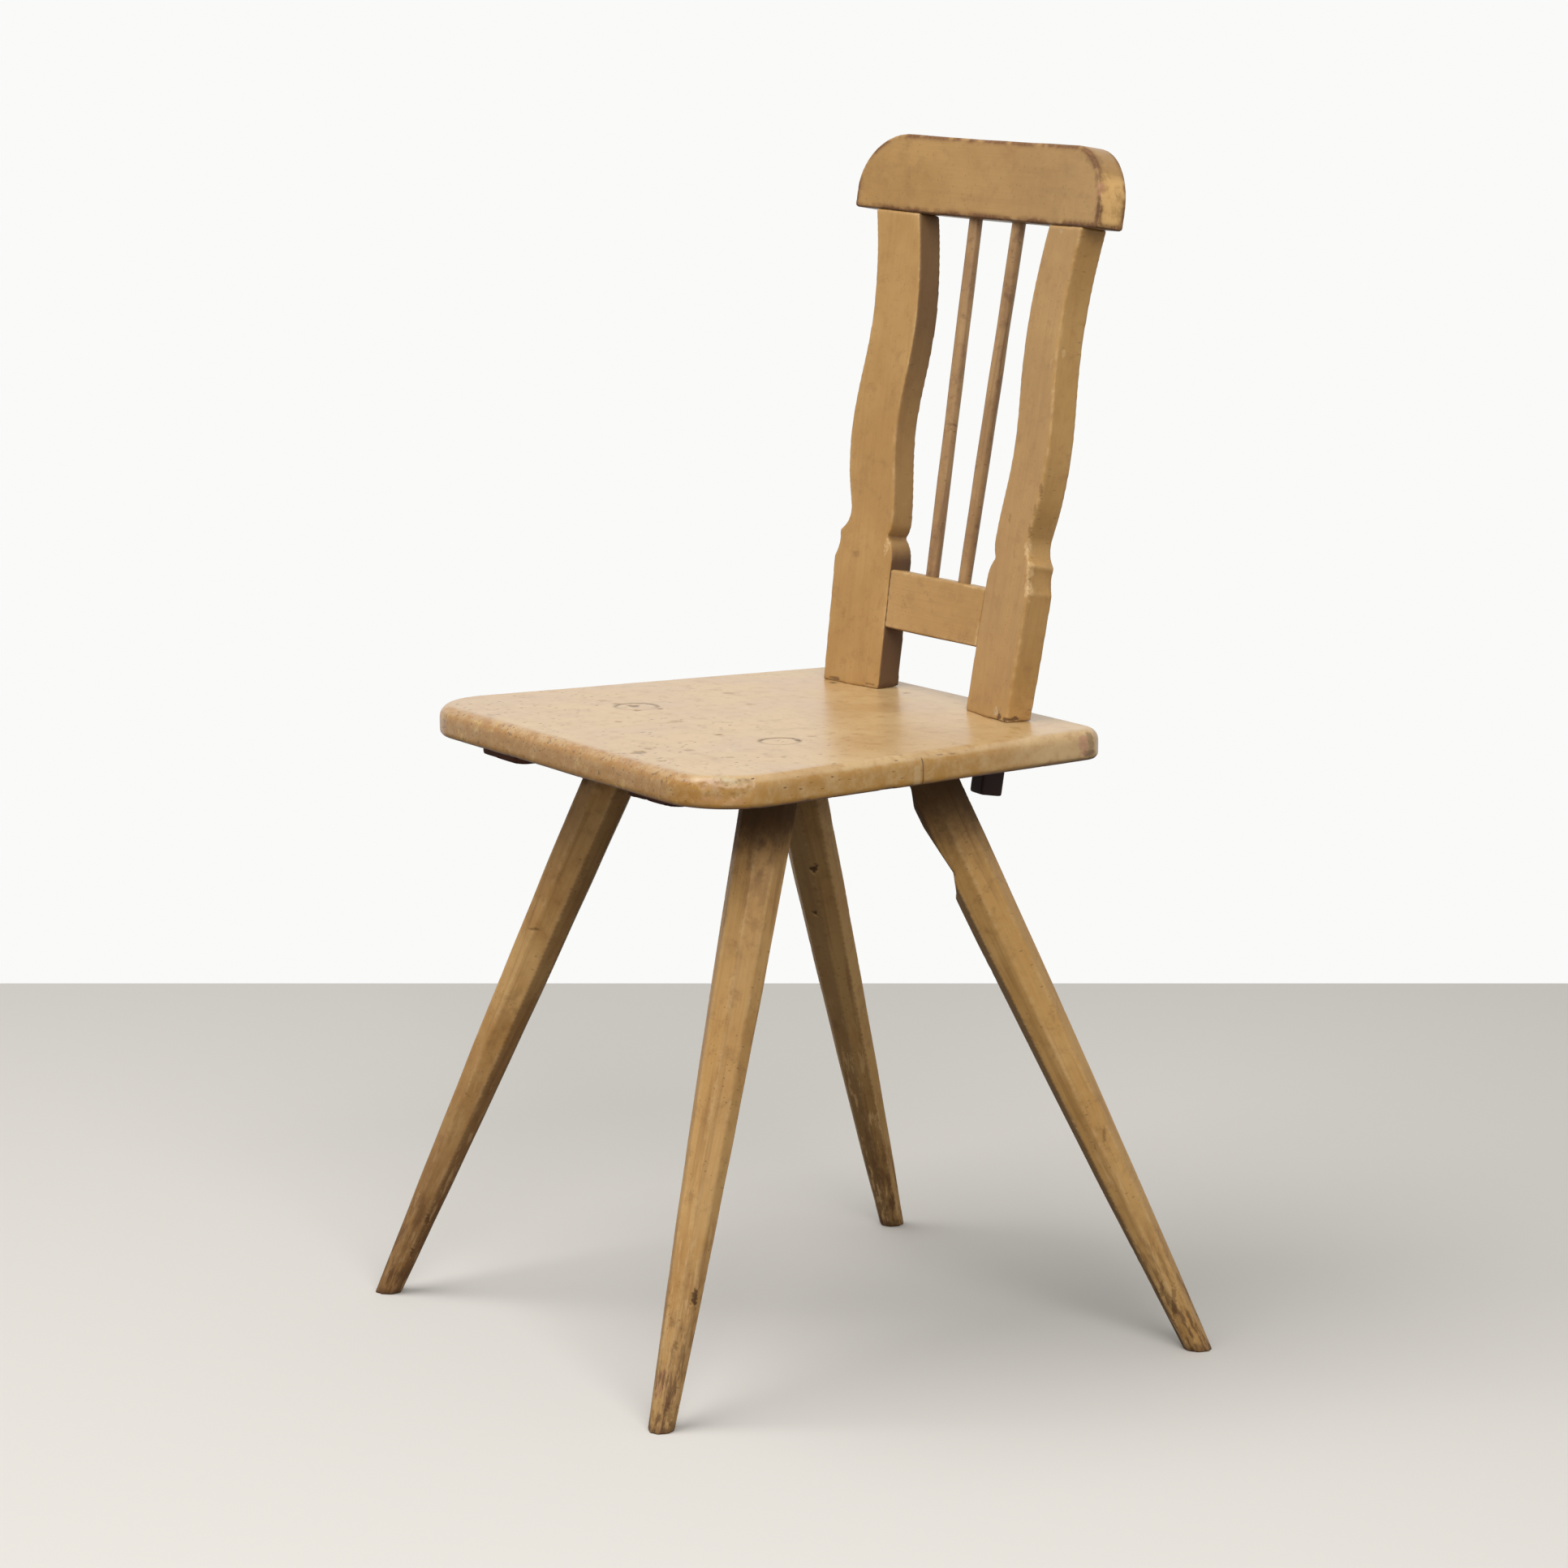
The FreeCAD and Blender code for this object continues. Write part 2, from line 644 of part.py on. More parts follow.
def spindle(name, side, widening):
    """Round rod between the rails, or with a widening the bore for both of its ends."""
    low = size("rail_rise") + size("rail_height") - size("spindle_hold")
    high = size("post_height") + size("spindle_hold")
    gap = widening * size("fit_clearance")
    depth = size("spindle_setback")
    foot = back_frame.multVec(Vector(side * size("spindle_low_gap") / 2, depth, low))
    head = back_frame.multVec(Vector(side * size("spindle_high_gap") / 2, depth, high))
    axis = head - foot
    rod = doc.addObject("Part::Cylinder", name)
    bind(rod, Radius="Sizes.spindle_diameter / 2 + %s * Sizes.fit_clearance" % widening)
    rod.Height = axis.Length + 2 * gap
    rod.Placement = shifted(Placement(foot, Rotation(UP, axis)), 0, 0, -gap)
    return rod


def crest_face_outline():
    """Crest rail from the front: straight edges and two rounded upper corners."""
    half = size("crest_width") / 2
    low = size("post_height")
    high = low + size("crest_height")
    run = size("crest_corner_width")
    drop = size("crest_corner_height")
    curves = []
    for side, first in ((1, 0), (-1, math.pi / 2)):
        centre = Vector(side * (half - run), high - drop, 0)
        corner = Part.Ellipse(centre + Vector(run, 0, 0), centre + Vector(0, drop, 0), centre)
        curves.append(Part.ArcOfEllipse(corner, first, first + math.pi / 2))
    curves.append(Part.LineSegment(Vector(half - run, high, 0), Vector(run - half, high, 0)))
    curves.append(Part.LineSegment(Vector(-half, high - drop, 0), Vector(-half, low, 0)))
    curves.append(Part.LineSegment(Vector(-half, low, 0), Vector(half, low, 0)))
    curves.append(Part.LineSegment(Vector(half, low, 0), Vector(half, high - drop, 0)))
    frame = shifted(back_frame, 0, -size("crest_thickness"), 0)
    return chain_curves(drawing("CrestFaceOutline", frame), curves)


def crest_plan_outline():
    """Crest rail from above: two arcs that bring its ends forward."""
    half = size("crest_width") / 2 + size("overrun")
    bow = size("crest_bow") * (half / (size("crest_width") / 2)) ** 2
    middle = size("crest_setback")
    thick = Vector(0, size("crest_thickness"), 0)
    left = Vector(-half, middle - bow, 0)
    centre = Vector(0, middle, 0)
    right = Vector(half, middle - bow, 0)
    sketch = doc.addObject("Sketcher::SketchObject", "CrestPlanOutline")
    sketch.Placement = shifted(back_frame, 0, 0, size("post_height") - size("overrun"))
    return chain_curves(sketch, (
        Part.Arc(left, centre, right),
        Part.LineSegment(right, right + thick),
        Part.Arc(right + thick, centre + thick, left + thick),
        Part.LineSegment(left + thick, left),
    ))


def crest_blank():
    """Crest rail sawn to both outlines, its edges eased, before its mortises are cut."""
    face = extrude("CrestFace", crest_face_outline(), "Sizes.crest_thickness * 3")
    plan = extrude(
        "CrestPlan", crest_plan_outline(), "Sizes.crest_height + Sizes.overrun * 2", away=False
    )
    sawn = common("CrestSawn", face, plan)
    doc.recompute()
    eased = doc.addObject("Part::Chamfer", "CrestEased")
    eased.Base = sawn
    arris = size("crest_arris")
    eased.Edges = [(i, arris, arris) for i in range(1, len(sawn.Shape.Edges) + 1)]
    return eased


def rail_blank(posts):
    """Cross rail scribed to the inner edges of both posts, with its tenons."""
    bar = box(
        "RailBar",
        shifted(back_frame, 0, size("rail_thickness") / 2, size("rail_rise")),
        "Sizes.post_gap + Sizes.rail_reach * 2",
        "Sizes.rail_thickness",
        "Sizes.rail_height",
    )
    scribed = cut("RailScribed", bar, fuse("PostsForScribing", posts))
    return fuse("RailWhole", [scribed, rail_tenon("RailTenons", 0)])


# Assembly: blanks, then joints, then the named pieces

SIDES = (("left", 1), ("right", -1))
LEGS = (
    ("front_left", 1, -1),
    ("front_right", -1, -1),
    ("rear_left", 1, 1),
    ("rear_right", -1, 1),
)

# Half spaces that trim the legs and posts
room = "Sizes.seat_height * 4"
below_floor = box("BelowFloor", world(0, 0, -sheet_value(room)), room, room, room)
above_batten = box("AboveBatten", world(0, 0, batten_bottom), room, room, room)
above_seat = box("AboveSeat", world(0, 0, size("seat_height")), room, room, room)
below_seat_top = box("BelowSeatTop", world(0, 0, size("seat_height") - sheet_value(room)), room, room, room)
leg_trim = fuse("LegTrim", [below_floor, above_batten])

nodes = {}
sockets = []

for word, side, end in LEGS:
    frame, length = leg_frame(side, end)
    shaft = cut("LegShaft_" + word, leg_blank(word, frame, length), leg_trim)
    if word == "rear_left":
        shaft = cut("LegWaney_" + word, shaft, waney_cutter(frame, length))
    tenon = cut("LegTenon_" + word, leg_tenon("TenonRod_" + word, frame, length, 0), above_seat)
    whole = fuse("LegWhole_" + word, [shaft, tenon])
    kerf = leg_wedge_blank("Kerf_" + word, frame, length, 1)
    nodes["leg_" + word] = cut("Leg_" + word, whole, kerf)
    wedge = common("WedgeInTenon_" + word, leg_wedge_blank("WedgeBlank_" + word, frame, length, 0), tenon)
    nodes["leg_wedge_" + word] = wedge
    sockets.append(leg_tenon("Bore_" + word, frame, length, 1))

for word, side in SIDES:
    sockets.append(post_tenon("PostMortise_" + word, side, 1, "Sizes.post_tenon_length * 2"))

all_sockets = fuse("Sockets", sockets)
housings = fuse("Housings", [batten_housing(word, side) for word, side in SIDES])
seat_cuts = fuse("SeatCuts", [all_sockets, housings])

plank = seat_plank()
jointed = cut("JointedPlank", plank, seat_cuts)
front_half = box(
    "FrontHalf",
    world(0, seat_front + size("front_board_depth") - size("seat_height") * 2, 0),
    room, room, room,
)
nodes["seat_board_front"] = common("SeatBoardFront", jointed, front_half)
nodes["seat_board_rear"] = cut("SeatBoardRear", jointed, front_half)

for word, side in SIDES:
    nodes["batten_" + word] = cut("Batten_" + word, batten_blank(word, side), all_sockets)

standing_posts = []
for word, side in SIDES:
    face = extrude("PostFace_" + word, post_outline("PostOutline_" + word, side), "Sizes.post_thickness")
    standing = cut("PostStanding_" + word, face, below_seat_top)
    standing_posts.append(standing)
    lower = post_tenon("PostTenon_" + word, side, 0, "Sizes.post_tenon_length")
    upper = crest_tenon("CrestTenon_" + word, side, 0)
    whole = fuse("PostWhole_" + word, [standing, lower, upper])
    slots = fuse("PostSlots_" + word, [
        rail_tenon("RailMortise_" + word, 1),
        post_key("KeySlot_" + word, side, 1),
    ])
    nodes["back_post_" + word] = cut("BackPost_" + word, whole, slots)
    nodes["post_key_" + word] = post_key("PostKey_" + word, side, 0)

for word, side in SIDES:
    nodes["spindle_" + word] = spindle("Spindle_" + word, side, 0)
rod_bores = fuse("SpindleBores", [spindle("SpindleBore_" + word, side, 1) for word, side in SIDES])

nodes["cross_rail"] = cut("CrossRail", rail_blank(standing_posts), rod_bores)

crest_mortises = fuse("CrestMortises", [
    crest_tenon("CrestMortise_left", 1, 1),
    crest_tenon("CrestMortise_right", -1, 1),
    rod_bores,
])
nodes["crest_rail"] = cut("CrestRail", crest_blank(), crest_mortises)

doc.recompute()

# Checks, then one file for each piece

for thing in doc.Objects:
    if "Invalid" in thing.State or "Error" in thing.State:
        raise RuntimeError("failed object: " + thing.Name)

for node, thing in nodes.items():
    thing.Label = node
    shape = thing.Shape
    if shape.isNull() or not shape.isValid():
        raise RuntimeError("bad shape: " + node)
    if len(shape.Solids) != 1:
        raise RuntimeError("%s has %d solids" % (node, len(shape.Solids)))

os.makedirs("parts", exist_ok=True)
for node, thing in nodes.items():
    thing.Shape.exportStep("parts/%s.step" % node)
    corners = thing.Shape.BoundBox
    print("%-24s %10.0f mm3  z %7.1f to %7.1f" % (node, thing.Shape.Volume, corners.ZMin, corners.ZMax))
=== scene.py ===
import math
from collections import namedtuple
from functools import reduce

import bmesh
import bpy
import numpy as np
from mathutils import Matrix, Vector


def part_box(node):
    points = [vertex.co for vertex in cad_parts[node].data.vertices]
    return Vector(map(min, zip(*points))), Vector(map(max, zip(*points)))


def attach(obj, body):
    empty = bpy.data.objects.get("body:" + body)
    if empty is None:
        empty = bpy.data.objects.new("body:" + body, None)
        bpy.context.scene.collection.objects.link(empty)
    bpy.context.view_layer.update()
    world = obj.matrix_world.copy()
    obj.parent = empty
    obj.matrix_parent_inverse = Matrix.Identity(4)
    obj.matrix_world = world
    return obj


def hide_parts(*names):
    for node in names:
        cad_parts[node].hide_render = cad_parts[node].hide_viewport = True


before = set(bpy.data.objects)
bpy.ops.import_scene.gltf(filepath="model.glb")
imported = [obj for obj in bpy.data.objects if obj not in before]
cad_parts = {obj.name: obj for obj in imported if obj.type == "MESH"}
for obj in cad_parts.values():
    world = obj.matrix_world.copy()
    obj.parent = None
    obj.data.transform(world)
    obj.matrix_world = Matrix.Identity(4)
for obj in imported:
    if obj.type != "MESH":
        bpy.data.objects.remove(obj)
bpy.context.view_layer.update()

# The looks of a worn, varnished board chair. Metres, +Z up, the front faces -Y.
# Every large piece is a finely meshed copy of its CAD node with eased arrises, slight hand-tool
# waves and dents. The leg wedges are cut off under the seat's paint, and only the keys keep
# their CAD meshes.

MM = 0.001
SEED = 20
WELD = 0.001 * MM

SEAT_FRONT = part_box("seat_board_front")[0].y
SEAT_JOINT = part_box("seat_board_front")[1].y
SEAT_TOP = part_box("seat_board_front")[1].z

# The seat's paint closes over the ends of tenons and wedges, which stay this far below it
PAINTED_TOP = SEAT_TOP - 0.8 * MM
# The seat is meshed as one with the tenons and wedges above this height
PLUG_BOTTOM = SEAT_TOP - 8 * MM

# View, as solved for the photo's frame

CAMERA_PLACE = (2748.565 * MM, -1785.81 * MM, 1005.343 * MM)
CAMERA_HEADING = math.radians(57)
CAMERA_PITCH = math.radians(10.476)
CAMERA_LENS = 106.644
SENSOR = 36.0
FRAME_PIXELS = 1932


def linked(name, data):
    """A new object in the scene."""
    thing = bpy.data.objects.new(name, data)
    bpy.context.scene.collection.objects.link(thing)
    return thing


def aim_camera():
    """The camera at the photo's viewing angle."""
    data = bpy.data.cameras.new("Camera")
    data.sensor_fit = "HORIZONTAL"
    data.sensor_width = SENSOR
    data.lens = CAMERA_LENS
    camera = linked("Camera", data)
    camera.location = CAMERA_PLACE
    camera.rotation_euler = (math.pi / 2 - CAMERA_PITCH, 0, CAMERA_HEADING)
    bpy.context.scene.camera = camera


def sight_line(pixel):
    """Direction from the camera through a pixel of the photo's frame."""
    across = Vector((math.cos(CAMERA_HEADING), math.sin(CAMERA_HEADING), 0))
    level = Vector((-math.sin(CAMERA_HEADING), math.cos(CAMERA_HEADING), 0))
    ahead = (level - Vector((0, 0, math.tan(CAMERA_PITCH)))).normalized()
    upward = across.cross(ahead)
    middle = FRAME_PIXELS / 2
    far = FRAME_PIXELS * CAMERA_LENS / SENSOR
    line = ahead * far + across * (pixel[0] - middle) - upward * (pixel[1] - middle)
    return np.array(line.normalized())


# Meshes

def cut_mesh(source, place, outward):
    """A mesh without what lies outward of a plane, closed where it was cut."""
    part = bmesh.new()
    part.from_mesh(source)
    bmesh.ops.remove_doubles(part, verts=part.verts[:], dist=WELD)
    geometry = part.verts[:] + part.edges[:] + part.faces[:]
    cut = bmesh.ops.bisect_plane(
        part, geom=geometry, plane_co=place, plane_no=outward, clear_outer=True,
    )
    rim = [item for item in cut["geom_cut"] if isinstance(item, bmesh.types.BMEdge)]
    for edge in rim:
        edge.smooth = False
    bmesh.ops.triangle_fill(part, use_beauty=True, use_dissolve=False, edges=rim)
    bmesh.ops.recalc_face_normals(part, faces=part.faces[:])
    mesh = bpy.data.meshes.new("cut")
    part.to_mesh(mesh)
    part.free()
    return mesh


def squaring_turn(mesh):
    """Rotation that sets a mesh's broadest flat face square to the Y axis."""
    sums = {}
    for face in mesh.polygons:
        rough = tuple(round(value, 2) for value in face.normal)
        sums[rough] = sums.get(rough, Vector()) + face.normal * face.area
    broadest = max(sums.values(), key=lambda total: total.length)
    return broadest.rotation_difference(Vector((0, -1, 0))).to_matrix().to_4x4()


def remeshed(name, sources, voxel, turn=None):
    """Meshes joined into one solid in small even faces, on a grid that a turn can tilt."""
    whole = bmesh.new()
    for source in sources:
        whole.from_mesh(source)
    if turn:
        whole.transform(turn)
    mesh = bpy.data.meshes.new(name)
    whole.to_mesh(mesh)
    whole.free()
    piece = linked(name, mesh)
    modifier = piece.modifiers.new("Remesh", "REMESH")
    modifier.mode = "VOXEL"
    modifier.voxel_size = voxel
    modifier.use_smooth_shade = True
    bpy.context.view_layer.update()
    graph = bpy.context.evaluated_depsgraph_get()
    piece.data = bpy.data.meshes.new_from_object(piece.evaluated_get(graph))
    piece.data.materials.clear()
    piece.modifiers.clear()
    if turn:
        piece.data.transform(turn.inverted())
    return piece


class Surface:
    """The points of a mesh as arrays, with their neighbours."""

    def __init__(self, mesh):
        self.mesh = mesh
        self.count = len(mesh.vertices)
        flat = np.empty(self.count * 3)
        mesh.vertices.foreach_get("co", flat)
        self.points = flat.reshape(-1, 3)
        ends = np.empty(len(mesh.edges) * 2, dtype=np.int64)
        mesh.edges.foreach_get("vertices", ends)
        self.ends = ends.reshape(-1, 2)
        self.degree = np.bincount(ends, minlength=self.count)

    def around(self, values):
        """Mean of each point's neighbours."""
        first, second = self.ends.T
        if values.ndim == 1:
            total = np.bincount(first, values[second], self.count)
            total += np.bincount(second, values[first], self.count)
            return total / self.degree
        return np.column_stack([self.around(column) for column in values.T])

    def normals(self):
        """Direction that the surface faces at each point."""
        flat = np.empty(self.count * 3)
        self.mesh.vertex_normals.foreach_get("vector", flat)
        return flat.reshape(-1, 3)

    def press(self, normals, depths):
        """Push points inwards, each by its own depth."""
        self.points -= normals * depths[:, None]

    def write(self):
        """Put the moved points back into the mesh."""
        self.mesh.vertices.foreach_set("co", self.points.ravel())
        self.mesh.update()

    def keep(self, name, values):
        """Store one number for each point, for the materials to read."""
        layer = self.mesh.attributes.new(name, "FLOAT", "POINT")
        layer.data.foreach_set("value", np.clip(values, 0, 1))

    def seen_at(self, pixel, slack):
        """The first point that a pixel of the photo's frame shows."""
        line = sight_line(pixel)
        away = self.points - np.array(CAMERA_PLACE)
        depth = away @ line
        off = np.linalg.norm(away - depth[:, None] * line, axis=1)
        near = np.where(off < max(slack, off.min() * 1.01), depth, np.inf)
        return self.points[near.argmin()]

    def longest_way(self):
        """Direction in which the piece is longest, which is how its grain runs."""
        _, directions = np.linalg.eigh(np.cov(self.points.T))
        return Vector(directions[:, -1])


# Wear and marks in the meshes

# How a piece is worn: mesh size, easing rounds, depth of bites in the arrises, and how strong
# and how wide the arrises' colour is
Wear = namedtuple("Wear", "voxel easing bite gain blur", defaults=(1.0, 4))

# How sharply a point stands proud of its neighbours, in voxels, to count as a full arris
ARRIS_BULGE = 0.06
WAVE_HEIGHT = 0.12 * MM
WAVE_LENGTH = 70 * MM
PATCH_LENGTH = 24 * MM
FINE_PATCH_LENGTH = 7 * MM
FINE_PATCH_SHARE = 0.6
BITE_LEVEL = 0.9

# A mark's outline strays by this share of its size, and fades between these shares
RAGGED_SHARE = 0.3
MARK_FADE = (1.15, 0.75)

# One mark seen in the photo: where, what it does, its half length and depth in mm, how much
# taller than wide it is, and how strong its colour is. Its place in the list seeds its outline.
Mark = namedtuple("Mark", "piece kind pixel reach depth stretch tone", defaults=(1.0, 1.0))

MARKS = (
    Mark("seat", "chip", (886, 974), 14, 0.3, 0.6),
    Mark("seat", "chip", (908, 974), 13, 0.3, 0.6),
    Mark("seat", "chip", (921, 970), 6, 0.3, 0.8, 0.8),
    Mark("seat", "mark", (893, 963), 9, 0.2, 0.2, 0.45),
    Mark("seat", "mark", (918, 961), 7, 0.2, 0.2, 0.5),
    Mark("seat", "mark", (864, 966), 2.5, 0.3, 0.8, 0.6),
    Mark("seat", "mark", (904, 982), 3.0, 0.3, 0.7, 0.7),
    Mark("seat", "mark", (888, 976), 2.6, 0.3, 0.8, 0.6),
    Mark("seat", "mark", (926, 969), 2.0, 0.3, 2.0, 0.5),
    Mark("seat", "mark", (871, 981), 2.2, 0.3, 0.8, 0.5),
    Mark("seat", "rub", (875, 968), 9, 0.1, 0.5, 0.6),
    Mark("seat", "rub", (880, 987), 16, 0.1, 0.25, 0.8),
    Mark("seat", "chip", (541, 901), 2.5, 0.3, 1.0, 0.8),
    Mark("seat", "mark", (536, 898), 2.0, 0.3, 1.5, 0.6),
    Mark("seat", "mark", (1160, 929), 4, 0.2, 0.12, 0.6),
    Mark("seat", "mark", (1174, 927), 4, 0.2, 0.12, 0.5),
    Mark("seat", "rub", (1338, 917), 4.0, 0.2, 2.5),
    Mark("seat", "mark", (1347, 911), 3.5, 0.2, 3.5, 0.5),
    # The corner's bottom arris, dark with dirt and painted shade
    Mark("seat", "mark", (1344, 929), 7.0, 0.2, 0.35, 0.8),
    Mark("seat", "mark", (781, 868), 4.5, 0.3, 1.0, 0.75),
    Mark("seat", "mark", (785, 873), 3.0, 0.3, 1.0, 0.6),
    Mark("seat", "mark", (789, 925), 5.0, 0.3, 1.0, 0.6),
    Mark("seat", "mark", (886, 903), 2.6, 0.4, 1.0, 0.75),
    Mark("seat", "mark", (833, 887), 5.0, 0.2, 1.0, 0.35),
    Mark("seat", "mark", (762, 887), 3.0, 0.2, 1.0, 0.5),
    Mark("seat", "mark", (897, 852), 4.0, 0.2, 1.0, 0.4),
    Mark("seat", "mark", (742, 861), 4.0, 0.2, 1.0, 0.35),
    Mark("seat", "mark", (966, 930), 3.0, 0.2, 1.0, 0.4),
    Mark("seat", "mark", (815, 935), 3.0, 0.2, 1.0, 0.4),
    Mark("seat", "mark", (981, 910), 2.2, 0.3, 1.0, 0.9),
    Mark("seat", "mark", (814, 871), 2.0, 0.3, 1.0, 0.9),
    Mark("seat", "mark", (760, 865), 3.0, 0.2, 1.0, 0.5),
    Mark("seat", "mark", (800, 920), 3.5, 0.2, 1.0, 0.4),
    Mark("seat", "mark", (850, 922), 4.0, 0.2, 1.0, 0.4),
    Mark("seat", "mark", (900, 931), 3.5, 0.2, 1.0, 0.35),
    Mark("seat", "mark", (1000, 905), 3.0, 0.2, 1.0, 0.35),
    Mark("seat", "mark", (925, 866), 3.0, 0.2, 1.0, 0.3),
    Mark("seat", "mark", (1026, 839), 3.5, 0.2, 1.0, 0.8),
    Mark("seat", "mark", (1116, 852), 3.0, 0.2, 1.0, 0.5),
    # Dark marks along the near post's foot: painted shadow in the gap between post and seat
    Mark("back_post_left", "mark", (1229, 883), 3.4, 0.4, 0.75),
    Mark("back_post_left", "mark", (1236, 887), 3.6, 0.4, 0.4),
    Mark("back_post_left", "mark", (1248, 888), 5.0, 0.3, 0.24),
    Mark("back_post_left", "chip", (1227, 876), 4.0, 0.2, 0.8, 0.8),
    # Dark marks along the far post's foot: painted shadow in the gap between post and seat
    Mark("back_post_right", "mark", (1028, 836), 6.0, 0.1, 0.2, 0.8),
    Mark("back_post_right", "mark", (1072, 844), 5.0, 0.1, 0.2, 0.7),
    Mark("back_post_right", "mark", (1095, 846), 9.0, 0.1, 0.25, 0.7),
    Mark("leg_front_left", "mark", (858, 1600), 3.0, 0.3, 2.0),
    Mark("leg_front_left", "mark", (834, 1660), 1.6, 0.3, 2.0, 0.5),
    Mark("leg_front_left", "rub", (812, 1705), 4.0, 0.1, 4.0, 0.7),
    Mark("leg_front_left", "mark", (826, 1745), 2.0, 0.1, 5.0, 0.5),
    Mark("leg_front_right", "mark", (655, 1145), 6, 0.2, 0.12, 0.6),
    Mark("leg_front_right", "mark", (527, 1505), 1.6, 0.4, 8.0, 0.6),
    Mark("leg_front_right", "mark", (509, 1545), 1.4, 0.3, 8.0, 0.5),
    Mark("leg_rear_right", "mark", (1003, 1072), 3.0, 0.6),
    Mark("leg_rear_right", "mark", (1003, 1125), 2.4, 0.6),
    Mark("leg_rear_left", "mark", (1446, 1610), 1.8, 0.3, 12.0, 0.6),
    Mark("leg_rear_left", "mark", (1430, 1590), 1.4, 0.3, 9.0, 0.5),
    Mark("leg_rear_left", "mark", (1362, 1400), 1.2, 0.2, 14.0, 0.45),
    Mark("crest_rail", "mark", (1350, 196), 9.0, 0.1, 0.6, 0.3),
    Mark("crest_rail", "mark", (1354, 212), 5.0, 0.1, 2.0, 0.35),
    Mark("crest_rail", "rub", (1357, 230), 4.0, 0.1, 1.5, 0.7),
    Mark("crest_rail", "mark", (1355, 258), 2.4, 0.2, 9.0, 0.6),
    Mark("back_post_left", "chip", (1307, 284), 2.5, 0.1, 0.7, 0.5),
    # Pale marks on the near post's front arris: worn paint and painted highlight
    Mark("back_post_left", "bare", (1312, 436), 1.6, 0.1, 1.8, 0.7),
    Mark("back_post_left", "bare", (1308, 405), 1.2, 0.1, 7.0, 0.4),
    Mark("back_post_left", "bare", (1294, 448), 1.2, 0.1, 3.0, 0.4),
    Mark("back_post_left", "bare", (1295, 525), 1.2, 0.1, 5.0, 0.3),
    # Dark line along the near post's arris: painted shadow over dark brown wear
    Mark("back_post_left", "mark", (1281, 602), 1.4, 0.1, 3.5, 0.5),
    Mark("back_post_left", "mark", (1274, 628), 1.2, 0.1, 4.0, 0.4),
    Mark("back_post_left", "mark", (1267, 652), 1.4, 0.1, 3.0, 0.5),
    # Pale streaks where the near post's arris meets its moulding: worn paint and painted highlight
    Mark("back_post_left", "bare", (1268, 676), 3.5, 0.1, 2.0, 0.9),
    Mark("back_post_left", "bare", (1267, 700), 3.5, 0.1, 2.0, 0.9),
    Mark("back_post_left", "bare", (1266, 724), 3.5, 0.1, 2.0, 0.9),
    Mark("back_post_right", "bare", (1092, 672), 2.5, 0.1, 3.0, 0.8),
    Mark("back_post_left", "mark", (1243, 640), 1.6, 0.2, 2.0, 0.35),
    Mark("back_post_right", "mark", (1053, 683), 4.0, 0.1, 0.6, 0.25),
)

# Round tenons whose outline the paint shows: middle in the photo's frame, radius, strength.
# The paint has cracked most on the side towards the rear right corner.
TENON_RINGS = (((785, 869), 15.3 * MM, 0.85), ((961, 911), 14.0 * MM, 0.95))
CRACKED_SIDE = np.array((-0.84, 0.54))
CRACKED_SPAN = (-0.7, 0.5)
CLOSED_SHARE = 0.3
RING_FADE = (2.0 * MM, 0.8 * MM)
RING_FLOOR = (-3 * MM, -1 * MM)
RING_GROOVE = 0.3 * MM


def ripples(points, wavelength, seed, waves=14):
    """A smooth random field between about -1 and 1."""
    dice = np.random.default_rng(seed)
    directions = dice.normal(size=(waves, 3))
    directions /= np.linalg.norm(directions, axis=1)[:, None]
    lengths = wavelength * dice.uniform(0.6, 1.6, waves)
    phases = dice.uniform(0, 2 * math.pi, waves)
    angles = points @ (directions * (2 * math.pi / lengths)[:, None]).T + phases
    return np.sin(angles).sum(axis=1) / math.sqrt(waves)


def step(values, low, high):
    """Smooth step from 0 at low to 1 at high."""
    share = np.clip((values - low) / (high - low), 0, 1)
    return share * share * (3 - 2 * share)


def put_marks(surface, name, normals, voxel, seed):
    """Dents and chips that the photo shows; returns how strong each kind is at each point."""
    stains = {kind: np.zeros(surface.count) for kind in ("mark", "chip", "rub", "bare")}
    for number, mark in enumerate(MARKS):
        if mark.piece != name:
            continue
        reach = mark.reach * MM
        offset = (surface.points - surface.seen_at(mark.pixel, voxel)) / reach
        offset[:, 2] /= mark.stretch
        ragged = RAGGED_SHARE * ripples(surface.points, reach, seed + number)
        strength = step(np.linalg.norm(offset, axis=1) + ragged, *MARK_FADE)
        stains[mark.kind] = np.maximum(stains[mark.kind], strength * mark.tone)
        surface.press(normals, strength * mark.depth * MM)
    return stains


def tenon_rings(surface, slack):
    """Thin broken rings in the seat's paint around the front legs' tenons."""
    total = np.zeros(surface.count)
    for pixel, radius, tone in TENON_RINGS:
        offset = surface.points - surface.seen_at(pixel, slack)
        reach = np.linalg.norm(offset[:, :2], axis=1)
        on_top = step(offset[:, 2], *RING_FLOOR)
        cracked = step(offset[:, :2] @ CRACKED_SIDE / radius, *CRACKED_SPAN)
        shown = CLOSED_SHARE + (1 - CLOSED_SHARE) * cracked
        total += tone * shown * step(np.abs(reach - radius), *RING_FADE) * on_top
    return total


